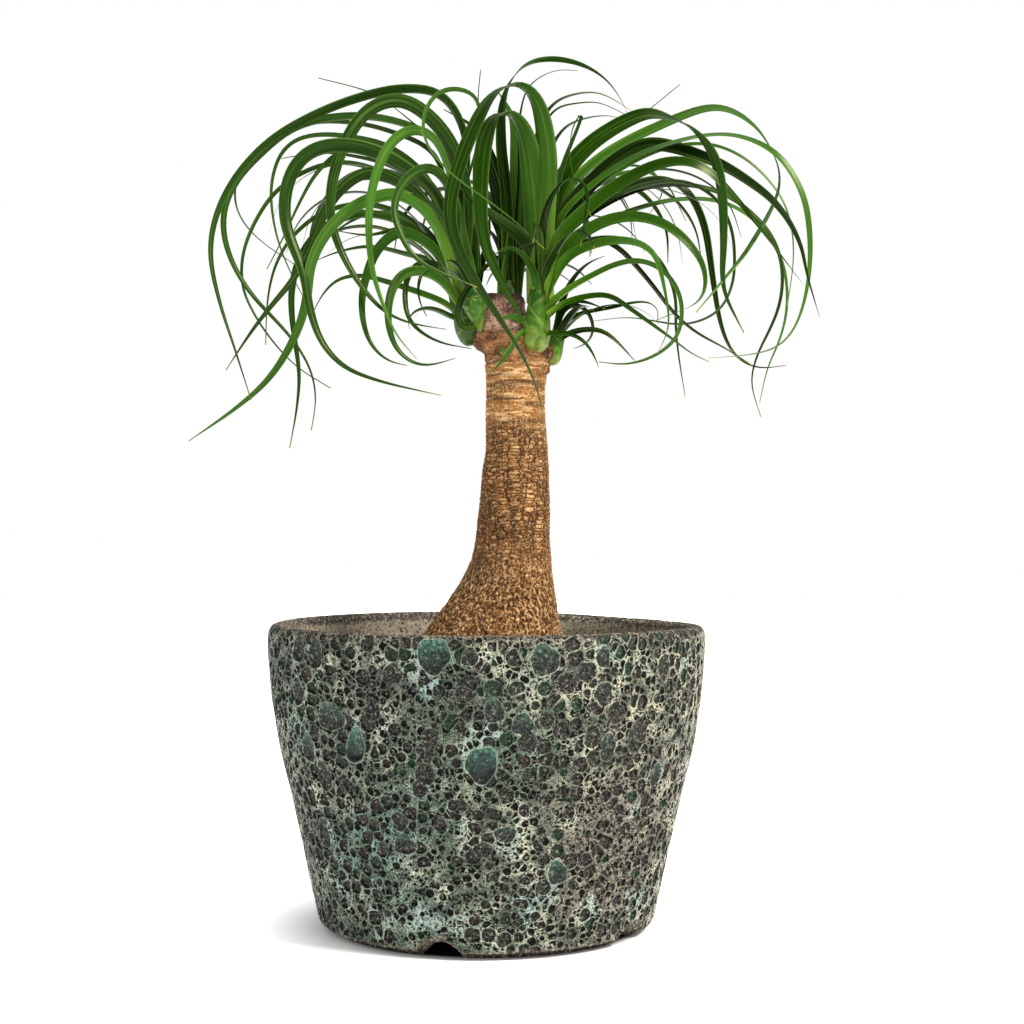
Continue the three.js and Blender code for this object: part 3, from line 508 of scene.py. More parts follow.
def lava_glaze():
    """Lava glaze on stoneware: charred matt pits, and a satin glass net between them that runs
    from cream through sage to teal and brown, deeper and glossier where it pooled."""
    material, tree, shader = finish_surface("lava_glazed_stoneware", IOR=1.52)
    at = add(tree, "ShaderNodeAttribute", attribute_name="blank").outputs["Vector"]
    glazed_part, pool, pool_edge, milky, milk_blue, low_in_pool, inside = (
        add(tree, "ShaderNodeAttribute", attribute_name=name).outputs["Fac"]
        for name in ("glazed", "glass", "pool_edge", "milk", "milk_blue", "sag", "inside")
    )
    # Noises by the size of what they draw, which is 1000 mm over the scale: 1.1 mm, 2.4 mm, 17 mm,
    # 38 mm and 90 mm. The real glaze's grain is finer, and is drawn as coarse as it has to show.
    grain, speckle, ragged, patch, drift = (
        add(
            tree,
            "ShaderNodeTexNoise",
            {"Vector": at, "Scale": scale, "Detail": detail, "W": seed},
            noise_dimensions="4D",
        ).outputs[0]
        for scale, detail, seed in (
            (900.0, 3.0, 0.0), (420.0, 2.0, 5.0), (60.0, 4.0, 7.0), (26.0, 3.0, 1.0),
            (11.0, 2.0, 3.0),
        )
    )
    floor, net, deep, tint, fine = lava_pits(tree, at, pool_edge)
    chance = add(tree, "ShaderNodeSeparateXYZ", {0: tint}).outputs[2]
    place = add(tree, "ShaderNodeSeparateXYZ", {0: at})
    sideways, upward = place.outputs[0], place.outputs[2]
    away = add(tree, "ShaderNodeVectorMath", {0: at, 1: DRY_PATCH}, operation="DISTANCE").outputs[1]
    away = {0: ragged, 1: 0.07, 2: away}
    away = add(tree, "ShaderNodeMath", away, operation="MULTIPLY_ADD").outputs[0]
    milk_edge = {0: ragged, 1: 1.5, 2: milky}
    milk_edge = add(tree, "ShaderNodeMath", milk_edge, operation="MULTIPLY_ADD").outputs[0]

    char = coats(
        tree,
        "#131212",
        [
            (grain, 0.42, 0.66, 1.0, "#53514c"),
            (fine, 0.0, 1.0, 0.85, "#070706"),
            (chance, 0.7, 0.95, 0.55, "#1f3f2c"),
            (speckle, 0.57, 0.69, 0.65, "#9b988a"),
            (speckle, 0.44, 0.36, 0.75, "#0b0b0a"),
        ],
    )
    cream = coats(
        tree,
        "#50684c",
        [
            (drift, 0.5, 0.42, 0.75, "#453e35"),
            (patch, 0.42, 0.6, 1.0, "#d8dcbf"),
            (drift, 0.52, 0.66, 0.75, "#7aa594"),
            # Paler, warmer net towards the right: partly the glaze's own colour, partly painted
            # light on the lit right side.
            (sideways, 0.02, 0.15, 0.6, "#dfd3b6"),
        ],
    )
    brown = coats(tree, "#2f2925", [(speckle, 0.42, 0.6, 1.0, "#877a66")])
    milk = coats(
        tree,
        "#c6c7ad",
        [(milk_blue, 0.0, 1.0, 1.0, "#a9c4bf"), (patch, 0.35, 0.7, 0.75, "#67897a")],
    )
    teal = coats(
        tree,
        "#5c907c",
        [
            (low_in_pool, 0.02, 0.4, 1.0, "#1d4a3b"),
            (patch, 0.45, 0.6, 0.5, "#0e2a21"),
            (speckle, 0.5, 0.38, 0.8, "#06100d"),
            (speckle, 0.55, 0.68, 0.5, "#7fa294"),
            (low_in_pool, 0.4, 0.85, 0.9, "#0a0f0d"),
            (grain, 0.56, 0.72, 0.3, "#4a5a51"),
        ],
    )
    pool_floor = coats(tree, char, [(pool, 0.0, 1.0, 0.9, teal)])
    clay = coats(
        tree,
        "#26211f",
        [
            (grain, 0.34, 0.66, 1.0, "#7d7469"),
            (patch, 0.5, 0.7, 0.4, "#5f4538"),
            # Painted light: the inside wall is painted pale, as if lit, where the crown leaves it
            # in shade.
            (inside, 0.0, 1.0, 0.72, "#c9bda6"),
            (drift, 0.46, 0.6, 0.35, "#4f5440"),
            (speckle, 0.55, 0.67, 0.75, "#d8cdb8"),
            (speckle, 0.47, 0.36, 0.8, "#2a2420"),
        ],
    )
    glaze = coats(
        tree,
        "#2b2a25",
        [
            (drift, 0.4, 0.6, 1.0, "#28443a"),
            (grain, 0.5, 0.75, 0.6, "#6e7563"),
            (sideways, 0.03, 0.16, 0.6, "#54463a"),
            (net, 0.0, 1.0, 0.5, "#586d52"),
            (ragged, 0.42, 0.58, net, cream),
            (away, 0.125, 0.06, 0.85, brown),
            (milk_edge, 0.95, 1.4, 0.75, milk),
            (upward, 239 * MM, 247 * MM, 0.75, brown),
            (speckle, 0.48, 0.38, 0.9, "#121411"),
            (grain, 0.48, 0.38, 0.7, "#181b17"),
            (grain, 0.56, 0.68, 0.4, "#ccd0bc"),
            (net, 0.0, 2.0, pool, "#9db5a0"),
            (floor, 0.0, 1.0, 1.0, char),
            (pool_edge, -2.0, 0.5, floor, pool_floor),
        ],
    )
    surface = coats(tree, clay, [(glazed_part, 0.0, 1.0, 1.0, glaze)])
    tree.links.new(surface, shader.inputs["Base Color"])

    gloss = {"Value": floor, "To Min": 0.4, "To Max": 0.8}
    gloss = add(tree, "ShaderNodeMapRange", gloss).outputs[0]
    wet = {"Value": pool_edge, "From Min": -1.0, "From Max": 0.5, "To Max": pool}
    wet = add(tree, "ShaderNodeMapRange", wet).outputs[0]
    gloss = {"Value": wet, "To Min": gloss, "To Max": 0.3}
    gloss = add(tree, "ShaderNodeMapRange", gloss).outputs[0]
    gloss = {"Value": glazed_part, "To Min": 0.85, "To Max": gloss}
    gloss = add(tree, "ShaderNodeMapRange", gloss).outputs[0]
    tree.links.new(gloss, shader.inputs["Roughness"])
    shine_share = {"Value": floor, "To Min": 0.4, "To Max": 0.08}
    shine_share = add(tree, "ShaderNodeMapRange", shine_share).outputs[0]
    shine_share = {"Value": wet, "To Min": shine_share, "To Max": 0.22}
    shine_share = add(tree, "ShaderNodeMapRange", shine_share).outputs[0]
    tree.links.new(shine_share, shader.inputs["Specular IOR Level"])

    relief = {0: deep, 1: glazed_part}
    relief = add(tree, "ShaderNodeMath", relief, operation="MULTIPLY").outputs[0]
    relief = {0: grain, 1: 0.35, 2: relief}
    relief = add(tree, "ShaderNodeMath", relief, operation="MULTIPLY_ADD").outputs[0]
    relief = {"Strength": 1.0, "Distance": 1.1 * MM, "Height": relief}
    bump = add(tree, "ShaderNodeBump", relief, invert=True)
    tree.links.new(bump.outputs[0], shader.inputs["Normal"])
    return material


# Unevenness left by the thrower's hand, which comes and goes over 111 mm, and how far the wall
# stands out to make up for its pits.
HAND_THROWN = 1.6
WALL_SWELL = 1.5


def pitted_wall():
    """Presses the pits and the pools into the turned wall, as deep as its points can show."""
    group, given = node_group("pitted_wall", {"Depth": "Float"})
    kinds = {"blank": "FLOAT_VECTOR", "pressed": "FLOAT", "hollow": "FLOAT", "pool_edge": "FLOAT"}
    at, pressed, broad, pool_gap = (
        add(group, "GeometryNodeInputNamedAttribute", {"Name": name}, data_type=kind).outputs[0]
        for name, kind in kinds.items()
    )
    deep = lava_pits(group, at, pool_gap)[2]
    hand = {"Vector": at, "Scale": 9.0, "Detail": 2.0}
    hand = add(group, "ShaderNodeTexNoise", hand).outputs[0]
    deep = add(group, "ShaderNodeMath", {0: deep, 1: broad}, operation="ADD").outputs[0]
    deep = {0: hand, 1: HAND_THROWN, 2: deep}
    deep = add(group, "ShaderNodeMath", deep, operation="MULTIPLY_ADD").outputs[0]
    for operation, amount in (
        ("SUBTRACT", WALL_SWELL), ("MULTIPLY", pressed), ("MULTIPLY", given.outputs["Depth"])
    ):
        deep = add(group, "ShaderNodeMath", {0: deep, 1: amount}, operation=operation).outputs[0]
    inward = {0: add(group, "GeometryNodeInputNormal").outputs[0], 3: deep}
    inward = add(group, "ShaderNodeVectorMath", inward, operation="SCALE").outputs[0]
    moved = add(group, "GeometryNodeSetPosition", {0: given.outputs[0], "Offset": inward})
    close_group(group, moved.outputs[0], lava_glaze())
    return group


turned_pot = new_mesh_object("turned_pot", pot_points, pot_faces)
store(turned_pot.data, "blank", pot_points * MM, "FLOAT_VECTOR")
store(turned_pot.data, "pressed", glazed * np.clip((248 - pot_points[:, 2]) / 9, 0, 1))
for name, values in (
    ("glazed", glazed), ("hollow", hollow), ("glass", glass), ("pool_edge", pool_edge),
    ("milk", milk), ("milk_blue", milk_blue), ("sag", sag), ("inside", inside_wall),
):
    store(turned_pot.data, name, values)
pot = grown(turned_pot, "lava_pot", pitted_wall(), {"Depth": -MM})
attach(pot, "root")
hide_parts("pot")


# Soil: dark peaty potting mix with bark crumbs, filled to some 35 mm below the lip and slightly
# crowned towards the trunk. The crumbs are scattered over the raked surface.

# Radius and height up its side, just inside the pot. Its top starts at that radius and level.
SOIL_EDGE = [(109.6, 20.4), (127.6, 32.4), (149.6, 116.4), (165.1, 200.4), (165.3, 213)]
SOIL_RADIUS = 165.3
SOIL_LEVEL = 213.5
SOIL_CROWN = 4
SOIL_RINGS = 84
SOIL_COLUMNS = 220
# Crumbs: radius, number a square metre, and the height over which they lie. The clods under them
# are 6.7 mm wide and this deep.
CRUMB_SIZE = 2.2
CRUMB_DENSITY = 60000.0
CRUMBS_OVER = 211
CLOD_DEPTH = 2.6


def potting_soil():
    """Peat and bark: a rough, nearly black brown matt crumb with paler fibres. The crumbs are
    drawn 2.4 mm wide and the fibres 1.4 mm."""
    material, tree, shader = finish_surface("peat_potting_soil", Roughness=0.95)
    at = add(tree, "ShaderNodeTexCoord").outputs["Object"]
    crumb = add(tree, "ShaderNodeTexVoronoi", {"Vector": at, "Scale": 420.0})
    chance = add(tree, "ShaderNodeSeparateXYZ", {0: crumb.outputs["Color"]}).outputs[0]
    grain = {"Vector": at, "Scale": 700.0, "Detail": 4.0}
    grain = add(tree, "ShaderNodeTexNoise", grain).outputs[0]
    coat = [(grain, 0.3, 0.7, 1.0, "#4d3826"), (chance, 0.8, 0.95, 0.7, "#7a5f44")]
    tree.links.new(coats(tree, "#1d140e", coat), shader.inputs["Base Color"])
    bump = {"Strength": 0.9, "Distance": 1.2 * MM, "Height": grain}
    tree.links.new(add(tree, "ShaderNodeBump", bump).outputs[0], shader.inputs["Normal"])
    return material


soil_finish = potting_soil()
soil_turn = np.linspace(0, 2 * math.pi, SOIL_COLUMNS, endpoint=False)
soil_rows = list(SOIL_EDGE)
soil_rows += [(SOIL_RADIUS * (1 - k / SOIL_RINGS), SOIL_LEVEL) for k in range(1, SOIL_RINGS)]
soil_points = []
for k, (r, z) in enumerate(soil_rows):
    x, y = r * np.cos(soil_turn), r * np.sin(soil_turn)
    crown = 0 if k < len(SOIL_EDGE) else SOIL_CROWN * (1 - r / SOIL_RADIUS)
    rake = 0.9 * np.sin(x / 9.1 + 2 * np.sin(y / 17)) * np.cos(y / 7.3)
    rake += 0.5 * np.sin(x / 3.7 + y / 4.9)
    if k < len(SOIL_EDGE) - 1:
        rake = 0 * x
    soil_points.append(np.stack([x, y, z + crown + rake], 1))
poles = [[0, 0, SOIL_EDGE[0][1]], [0, 0, SOIL_LEVEL + SOIL_CROWN]]
soil_points = np.vstack([*soil_points, poles])
soil_faces = closed_faces(len(soil_rows), SOIL_COLUMNS)


def crumbled_soil():
    """Roughens the raked surface and scatters bark crumbs over it."""
    group, given = node_group("crumbled_soil", {"Crumb Size": "Float", "Seed": "Int"})
    size, seed = given.outputs["Crumb Size"], given.outputs["Seed"]
    at = add(group, "GeometryNodeInputPosition").outputs[0]
    level = add(group, "ShaderNodeSeparateXYZ", {0: at}).outputs[2]
    top = {0: level, 1: CRUMBS_OVER * MM}
    top = add(group, "FunctionNodeCompare", top, operation="GREATER_THAN").outputs[0]
    clod = {"Vector": at, "Scale": 150.0}
    clod = add(group, "ShaderNodeTexVoronoi", clod, feature="SMOOTH_F1").outputs["Distance"]
    clod = {0: clod, 1: -CLOD_DEPTH * MM}
    clod = add(group, "ShaderNodeMath", clod, operation="MULTIPLY").outputs[0]
    upward = add(group, "ShaderNodeCombineXYZ", {2: clod}).outputs[0]
    raked = {0: given.outputs[0], "Selection": top, "Offset": upward}
    raked = add(group, "GeometryNodeSetPosition", raked).outputs[0]
    spread = {0: raked, "Selection": top, "Density": CRUMB_DENSITY, "Seed": seed}
    spread = add(group, "GeometryNodeDistributePointsOnFaces", spread)
    turned = {1: (6.28, 6.28, 6.28), "Seed": seed}
    turned = add(group, "FunctionNodeRandomValue", turned, data_type="FLOAT_VECTOR")
    stretched = {0: (0.25, 0.35, 0.2), 1: (1.5, 1.0, 0.7), "Seed": 7}
    stretched = add(group, "FunctionNodeRandomValue", stretched, data_type="FLOAT_VECTOR")
    ball = add(group, "GeometryNodeMeshIcoSphere", {"Radius": size, "Subdivisions": 1})
    crumbs = {
        0: spread.outputs[0], "Instance": ball.outputs[0],
        "Rotation": turned.outputs[0], "Scale": stretched.outputs[0],
    }
    crumbs = add(group, "GeometryNodeInstanceOnPoints", crumbs)
    both = add(group, "GeometryNodeJoinGeometry", {0: crumbs.outputs[0]})
    group.links.new(raked, both.inputs[0])
    close_group(group, both.outputs[0], soil_finish)
    return group


soil = grown(
    new_mesh_object("raked_soil", soil_points, soil_faces),
    "potting_soil",
    crumbled_soil(),
    {"Crumb Size": CRUMB_SIZE * MM, "Seed": 3},
)
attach(soil, "root")
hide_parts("soil")


# Trunk: a ponytail palm's, swollen at its foot, with corky bark. The foot is cracked into small
# grains, the middle into flat plates between level and upright fissures, and the top still shows
# the pale level scars of fallen leaves. It was cut off at the top, and shoots grow round the cut.

# Stations up the trunk: height, its middle across and in depth, and its half width across and in
# depth.
TRUNK = [
    (92, 6, 4, 20, 20), (106, 4, 3, 50, 47), (140, 2, 1, 73, 69), (180, 3, 0, 77, 74),
    (205, 4, 0, 71, 69), (225, 5, 0, 63.5, 62), (241, 6.7, 0, 55.8, 55), (254, 10, 0, 50, 49),
    (266, 14, 0, 44.6, 44), (277, 16.8, 0, 39.6, 40.2), (288, 19, 0, 36.2, 37),
    (301, 20.8, 0, 32.4, 33), (318, 22, 0, 30.3, 30.5), (351, 23.3, 0, 28.3, 28),
    (376, 23.9, 0, 27, 27), (392, 24.7, 0, 25.1, 25.5), (416, 23.7, 0, 24.3, 24.8),
    (442, 23.5, 0, 23.5, 24), (454, 24.4, 0, 24.6, 25), (463, 24.2, 0, 25.2, 25.5),
    (470, 24.2, 0, 25.2, 25.5), (474.5, 24, 0, 25.6, 25.5), (477.5, 20.2, 0, 29.3, 26),
    (484, 19, 0, 29.5, 26), (487.5, 16, 0, 26.8, 25), (491.5, 12.8, 0, 21.6, 22),
    (496, 12.2, 0, 20.3, 20.5), (517, 12, 0, 19.2, 19.5), (521, 12, 0, 16, 16.5),
]
TRUNK_COLUMNS = 240
# Rows of points in the soil, up the swollen foot, and up the rest.
BURIED_ROWS = 16
SWOLLEN_ROWS = 76
SHAFT_ROWS = 222
BURIED_TOP = 208
SWOLLEN_TOP = 300
# Knobs where shoots broke through the bark: across, depth, height, half size, and how far they
# stand out.
KNOBS = [
    (-9, -4, 481, 5, 1.6), (-8, 6, 479, 5, 1.2), (50, -6, 474, 8, 5.6), (52, 4, 466, 6, 3.5),
    (51, -7, 459, 5, 3.2), (45, -14, 482, 5, 3.0), (-3, -14, 487, 5, 2.0), (20, -26, 478, 6, 1.6),
    (-8, 14, 482, 5, 1.4), (42, 20, 474, 7, 4.5), (10, 26, 478, 7, 3.5), (0, -18, 494, 4, 1.2),
    (24, -16, 492, 5, 1.6), (8, -22, 486, 5, 2.4), (30, -22, 470, 4, 1.6), (0, -18, 470, 4, 1.5),
    (12, -24, 468, 3.5, 1.2), (28, -24, 486, 3.5, 1.6),
]

stations = np.asarray(TRUNK, float)
levels = [
    np.linspace(TRUNK[0][0], BURIED_TOP, BURIED_ROWS, endpoint=False),
    np.linspace(BURIED_TOP, SWOLLEN_TOP, SWOLLEN_ROWS, endpoint=False),
    np.linspace(SWOLLEN_TOP, TRUNK[-1][0], SHAFT_ROWS),
]
levels = np.concatenate(levels)
fine = np.stack([np.interp(levels, stations[:, 0], stations[:, k]) for k in range(1, 5)], 1)
for _ in range(6):
    fine[1:-1] = (fine[:-2] + 2 * fine[1:-1] + fine[2:]) / 4
angles = np.linspace(0, 2 * math.pi, TRUNK_COLUMNS, endpoint=False)[None, :]
z = levels[:, None]
# The foot is more uneven than the shaft.
lobe = np.where(z < SWOLLEN_TOP, 0.022, 0.009)
wave = 1 + lobe * (np.sin(3 * angles + z / 55) + 0.6 * np.sin(5 * angles - z / 37))
trunk_x = fine[:, 0:1] + fine[:, 2:3] * wave * np.cos(angles)
trunk_y = fine[:, 1:2] + fine[:, 3:4] * wave * np.sin(angles)
trunk_points = np.stack([trunk_x, trunk_y, z + 0 * angles], 2).reshape(-1, 3)
centre = np.stack([fine[:, 0:1] + 0 * angles, fine[:, 1:2] + 0 * angles], 2).reshape(-1, 2)
push = np.zeros(len(trunk_points))
for x, y, up, half, stand in KNOBS:
    off = np.linalg.norm(trunk_points - [x, y, up], axis=1) / half
    push += stand * np.exp(-(off**6))
outward = trunk_points[:, :2] - centre
outward /= np.linalg.norm(outward, axis=1)[:, None]
trunk_points[:, :2] += outward * push[:, None]
foot_pole = [TRUNK[0][1], TRUNK[0][2], TRUNK[0][0] - 2]
cut_pole = [TRUNK[-1][1], TRUNK[-1][2], TRUNK[-1][0] + 1.2]
trunk_points = np.vstack([trunk_points, foot_pole, cut_pole])
trunk_faces = closed_faces(len(levels), TRUNK_COLUMNS)

# Grain of the bark: how far a feature reaches across and up, and its fine detail. In turn the
# upright fissures, the foot's grit, thin level streaks and the level leaf scars.
BARK_GRAINS = [(9, 80, 1.0), (2.3, 3.6, 3.0), (18, 2.9, 2.0), (50, 5.2, 2.0)]
# Plates of the middle: width and height.
PLATE = (9.5, 3.1)
# Heights between which the middle's bark turns into the foot's, and into the top's.
FOOT_BARK = (325, 275)
TOP_BARK = (400, 424)


def corky_bark(tree, at):
    """Relief of the bark in mm, the share of dark fissure, the share of pale cork, and the
    share of the foot and of the top at a height. Its lines sway over 24 mm."""
    bend = add(tree, "ShaderNodeTexNoise", {"Vector": at, "Scale": 42.0, "Detail": 3.0})
    sway = {0: bend.outputs["Color"], 1: (0.5, 0.5, 0.5)}
    sway = add(tree, "ShaderNodeVectorMath", sway, operation="SUBTRACT").outputs[0]
    sway = add(tree, "ShaderNodeVectorMath", {0: sway, 3: 8 * MM}, operation="SCALE").outputs[0]
    bent = add(tree, "ShaderNodeVectorMath", {0: at, 1: sway}, operation="ADD").outputs[0]
    height = add(tree, "ShaderNodeSeparateXYZ", {0: bent}).outputs[2]
    eased = add(tree, "ShaderNodeVectorMath", {0: sway, 3: 0.45}, operation="SCALE").outputs[0]
    eased = add(tree, "ShaderNodeVectorMath", {0: at, 1: eased}, operation="ADD").outputs[0]
    foot, crown = (
        add(
            tree,
            "ShaderNodeMapRange",
            {"Value": height, "From Min": start * MM, "From Max": full * MM},
            interpolation_type="SMOOTHSTEP",
        ).outputs[0]
        for start, full in (FOOT_BARK, TOP_BARK)
    )
    grains = []
    for across, up, detail in BARK_GRAINS:
        size = (1 / (across * MM), 1 / (across * MM), 1 / (up * MM))
        size = {0: bent if across < 5 else eased, 1: size}
        size = add(tree, "ShaderNodeVectorMath", size, operation="MULTIPLY").outputs[0]
        size = {"Vector": size, "Scale": 1.0, "Detail": detail, "Roughness": 0.55}
        grains.append(add(tree, "ShaderNodeTexNoise", size).outputs[0])
    upright_line, grit, streaks, bands = grains
    across, up = PLATE
    plate = {0: eased, 1: (1 / (across * MM), 1 / (across * MM), 1 / (up * MM))}
    plate = add(tree, "ShaderNodeVectorMath", plate, operation="MULTIPLY").outputs[0]
    plate = {"Vector": plate, "Scale": 1.0, "Randomness": 0.7}
    plate_tone = add(tree, "ShaderNodeTexVoronoi", plate).outputs["Color"]
    plate_tone = add(tree, "ShaderNodeSeparateXYZ", {0: plate_tone}).outputs[0]
    plate_gap = add(tree, "ShaderNodeTexVoronoi", plate, feature="DISTANCE_TO_EDGE")
    plate_gap = plate_gap.outputs["Distance"]
    # Fissures of the middle: the gaps between plates, and where two of the grains pass their mean.
    cracks = [(plate_gap, 0.01, 0.1)]
    for line, thin in ((upright_line, 0.042), (streaks, 0.016)):
        off = add(tree, "ShaderNodeMath", {0: line, 1: 0.5}, operation="SUBTRACT").outputs[0]
        off = add(tree, "ShaderNodeMath", {0: off}, operation="ABSOLUTE").outputs[0]
        cracks.append((off, 0.3 * thin, thin))
    middle_dark = 0.0
    for off, near, far in cracks:
        off = {"Value": off, "From Min": near, "From Max": far, "To Min": 1.0, "To Max": 0.0}
        off = add(tree, "ShaderNodeMapRange", off).outputs[0]
        off = add(tree, "ShaderNodeMath", {0: off, 1: middle_dark}, operation="MAXIMUM")
        middle_dark = off.outputs[0]
    plate_pale, plate_core, foot_dark, foot_pale, top_dark, top_pale = (
        add(
            tree, "ShaderNodeMapRange", {"Value": zone, "From Min": start, "From Max": full}
        ).outputs[0]
        for zone, start, full in (
            (plate_tone, 0.3, 1.15), (plate_gap, 0.06, 0.3), (grit, 0.49, 0.38),
            (grit, 0.53, 0.65), (bands, 0.49, 0.37), (streaks, 0.51, 0.64),
        )
    )
    plate_pale = {0: plate_pale, 1: plate_core}
    plate_pale = add(tree, "ShaderNodeMath", plate_pale, operation="MULTIPLY").outputs[0]
    mixed = []
    for middle, low, high in (
        (middle_dark, foot_dark, top_dark), (plate_pale, foot_pale, top_pale)
    ):
        share = {"Value": foot, "To Min": middle, "To Max": low}
        share = add(tree, "ShaderNodeMapRange", share).outputs[0]
        share = {"Value": crown, "To Min": share, "To Max": high}
        mixed.append(add(tree, "ShaderNodeMapRange", share).outputs[0])
    dark, pale = mixed
    relief = add(tree, "ShaderNodeMath", {0: dark, 1: -0.9}, operation="MULTIPLY").outputs[0]
    for share, lift in ((pale, 0.5), (bend.outputs[0], 1.6)):
        relief = {0: share, 1: lift, 2: relief}
        relief = add(tree, "ShaderNodeMath", relief, operation="MULTIPLY_ADD").outputs[0]
    return relief, dark, pale, foot, crown


def bark_finish():
    """Ponytail palm bark: dry matt cork, tan on its plates and dark brown in its fissures, with
    a redder collar and the pinkish dry face of the cut above it."""
    material, tree, shader = finish_surface(
        "corky_palm_bark", Roughness=0.85, Specular_IOR_Level=0.25
    )
    at = add(tree, "ShaderNodeAttribute", attribute_name="blank").outputs["Vector"]
    knob = add(tree, "ShaderNodeAttribute", attribute_name="knob").outputs["Fac"]
    relief, dark, pale, foot, crown = corky_bark(tree, at)
    height = add(tree, "ShaderNodeSeparateXYZ", {0: at}).outputs[2]
    # Specks of 1.6 mm, which is as fine as shows, clouds of 14 mm and drifts of 42 mm.
    speck, cloud, drift = (
        add(tree, "ShaderNodeTexNoise", {"Vector": at, "Scale": scale, "Detail": 3.0}).outputs[0]
        for scale in (620.0, 70.0, 24.0)
    )
    cut_face = coats(
        tree,
        "#7c5748",
        [
            (cloud, 0.42, 0.58, 1.0, "#c49b85"),
            (speck, 0.5, 0.37, 0.8, "#4d3029"),
            (speck, 0.55, 0.68, 0.5, "#e6cab2"),
            (height, 495 * MM, 488 * MM, 0.7, "#5c4a2c"),
            (height, 511 * MM, 519 * MM, 0.75, "#3a2622"),
        ],
    )
    collar = [
        (cloud, 0.47, 0.62, 1.0, "#a9754a"),
        (cloud, 0.47, 0.38, 0.95, "#34200f"),
        (speck, 0.52, 0.35, 0.7, "#3a2214"),
    ]
    collar = coats(tree, "#6f4528", collar)
    knob_cork = coats(tree, "#3f2716", [(speck, 0.46, 0.66, 1.0, "#9a6a45")])
    worn = {"Value": crown, "To Min": 0.86, "To Max": 0.58}
    worn = add(tree, "ShaderNodeMapRange", worn).outputs[0]
    colour = coats(
        tree,
        "#7c4f26",
        [
            (cloud, 0.36, 0.64, 1.0, "#a26d39"),
            (foot, 0.0, 1.0, 0.65, "#6f4923"),
            (crown, 0.0, 1.0, 0.6, "#a46e39"),
            (drift, 0.54, 0.66, 0.4, "#5d3e1c"),
            (pale, 0.0, 1.0, 0.85, "#e8be86"),
            (dark, 0.0, 1.0, worn, "#3a210c"),
            (speck, 0.55, 0.7, 0.55, "#efcf9f"),
            (speck, 0.46, 0.33, 0.75, "#38200e"),
            (height, 462 * MM, 471 * MM, 0.85, collar),
            (knob, 0.6, 3.0, 0.8, knob_cork),
            (height, 486 * MM, 490 * MM, 0.95, cut_face),
        ],
    )
    tree.links.new(colour, shader.inputs["Base Color"])
    relief = {0: speck, 1: 0.6, 2: relief}
    relief = add(tree, "ShaderNodeMath", relief, operation="MULTIPLY_ADD").outputs[0]
    bump = add(tree, "ShaderNodeBump", {"Strength": 0.8, "Distance": 1.0 * MM, "Height": relief})
    tree.links.new(bump.outputs[0], shader.inputs["Normal"])
    return material


def cracked_trunk():
    """Lifts the plates and scars and opens the fissures on the plain trunk."""
    group, given = node_group("cracked_trunk", {"Relief": "Float"})
    at = {"Name": "blank"}
    at = add(group, "GeometryNodeInputNamedAttribute", at, data_type="FLOAT_VECTOR").outputs[0]
    relief = {0: corky_bark(group, at)[0], 1: given.outputs["Relief"]}
    relief = add(group, "ShaderNodeMath", relief, operation="MULTIPLY").outputs[0]
    offset = {0: add(group, "GeometryNodeInputNormal").outputs[0], 3: relief}
    offset = add(group, "ShaderNodeVectorMath", offset, operation="SCALE").outputs[0]
    moved = add(group, "GeometryNodeSetPosition", {0: given.outputs[0], "Offset": offset})
    close_group(group, moved.outputs[0], bark_finish())
    return group


plain_trunk = new_mesh_object("plain_trunk", trunk_points, trunk_faces)
store(plain_trunk.data, "blank", trunk_points * MM, "FLOAT_VECTOR")
store(plain_trunk.data, "knob", np.append(push, [0, 0]))
trunk = grown(plain_trunk, "palm_trunk", cracked_trunk(), {"Relief": MM})
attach(trunk, "root")
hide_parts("trunk")


# Leafy heads: long strap leaves rise from the neck of each shoot, arch over and hang. A leaf is a
# thin satin blade, keeled near its base and nearly flat beyond, with fine lengthwise veins and a
# dry brown tip. It is made as a lens-shaped section run along its midrib.

# The foot and the neck of each shoot, each across, up and in depth, and its radius.
HEADS = {
    "left": ((-12, 480, 0), (-29, 536, -4), 10),
    "front": ((-5, 490, -20), (-13, 527, -29), 10.5),
    "right": ((40, 474, -19), (45, 535, -22), 11.5),
    "side": ((51, 464, 0), (62, 495, 3), 8.5),
    "back": ((18, 468, 22), (19, 540, 42), 12),
}
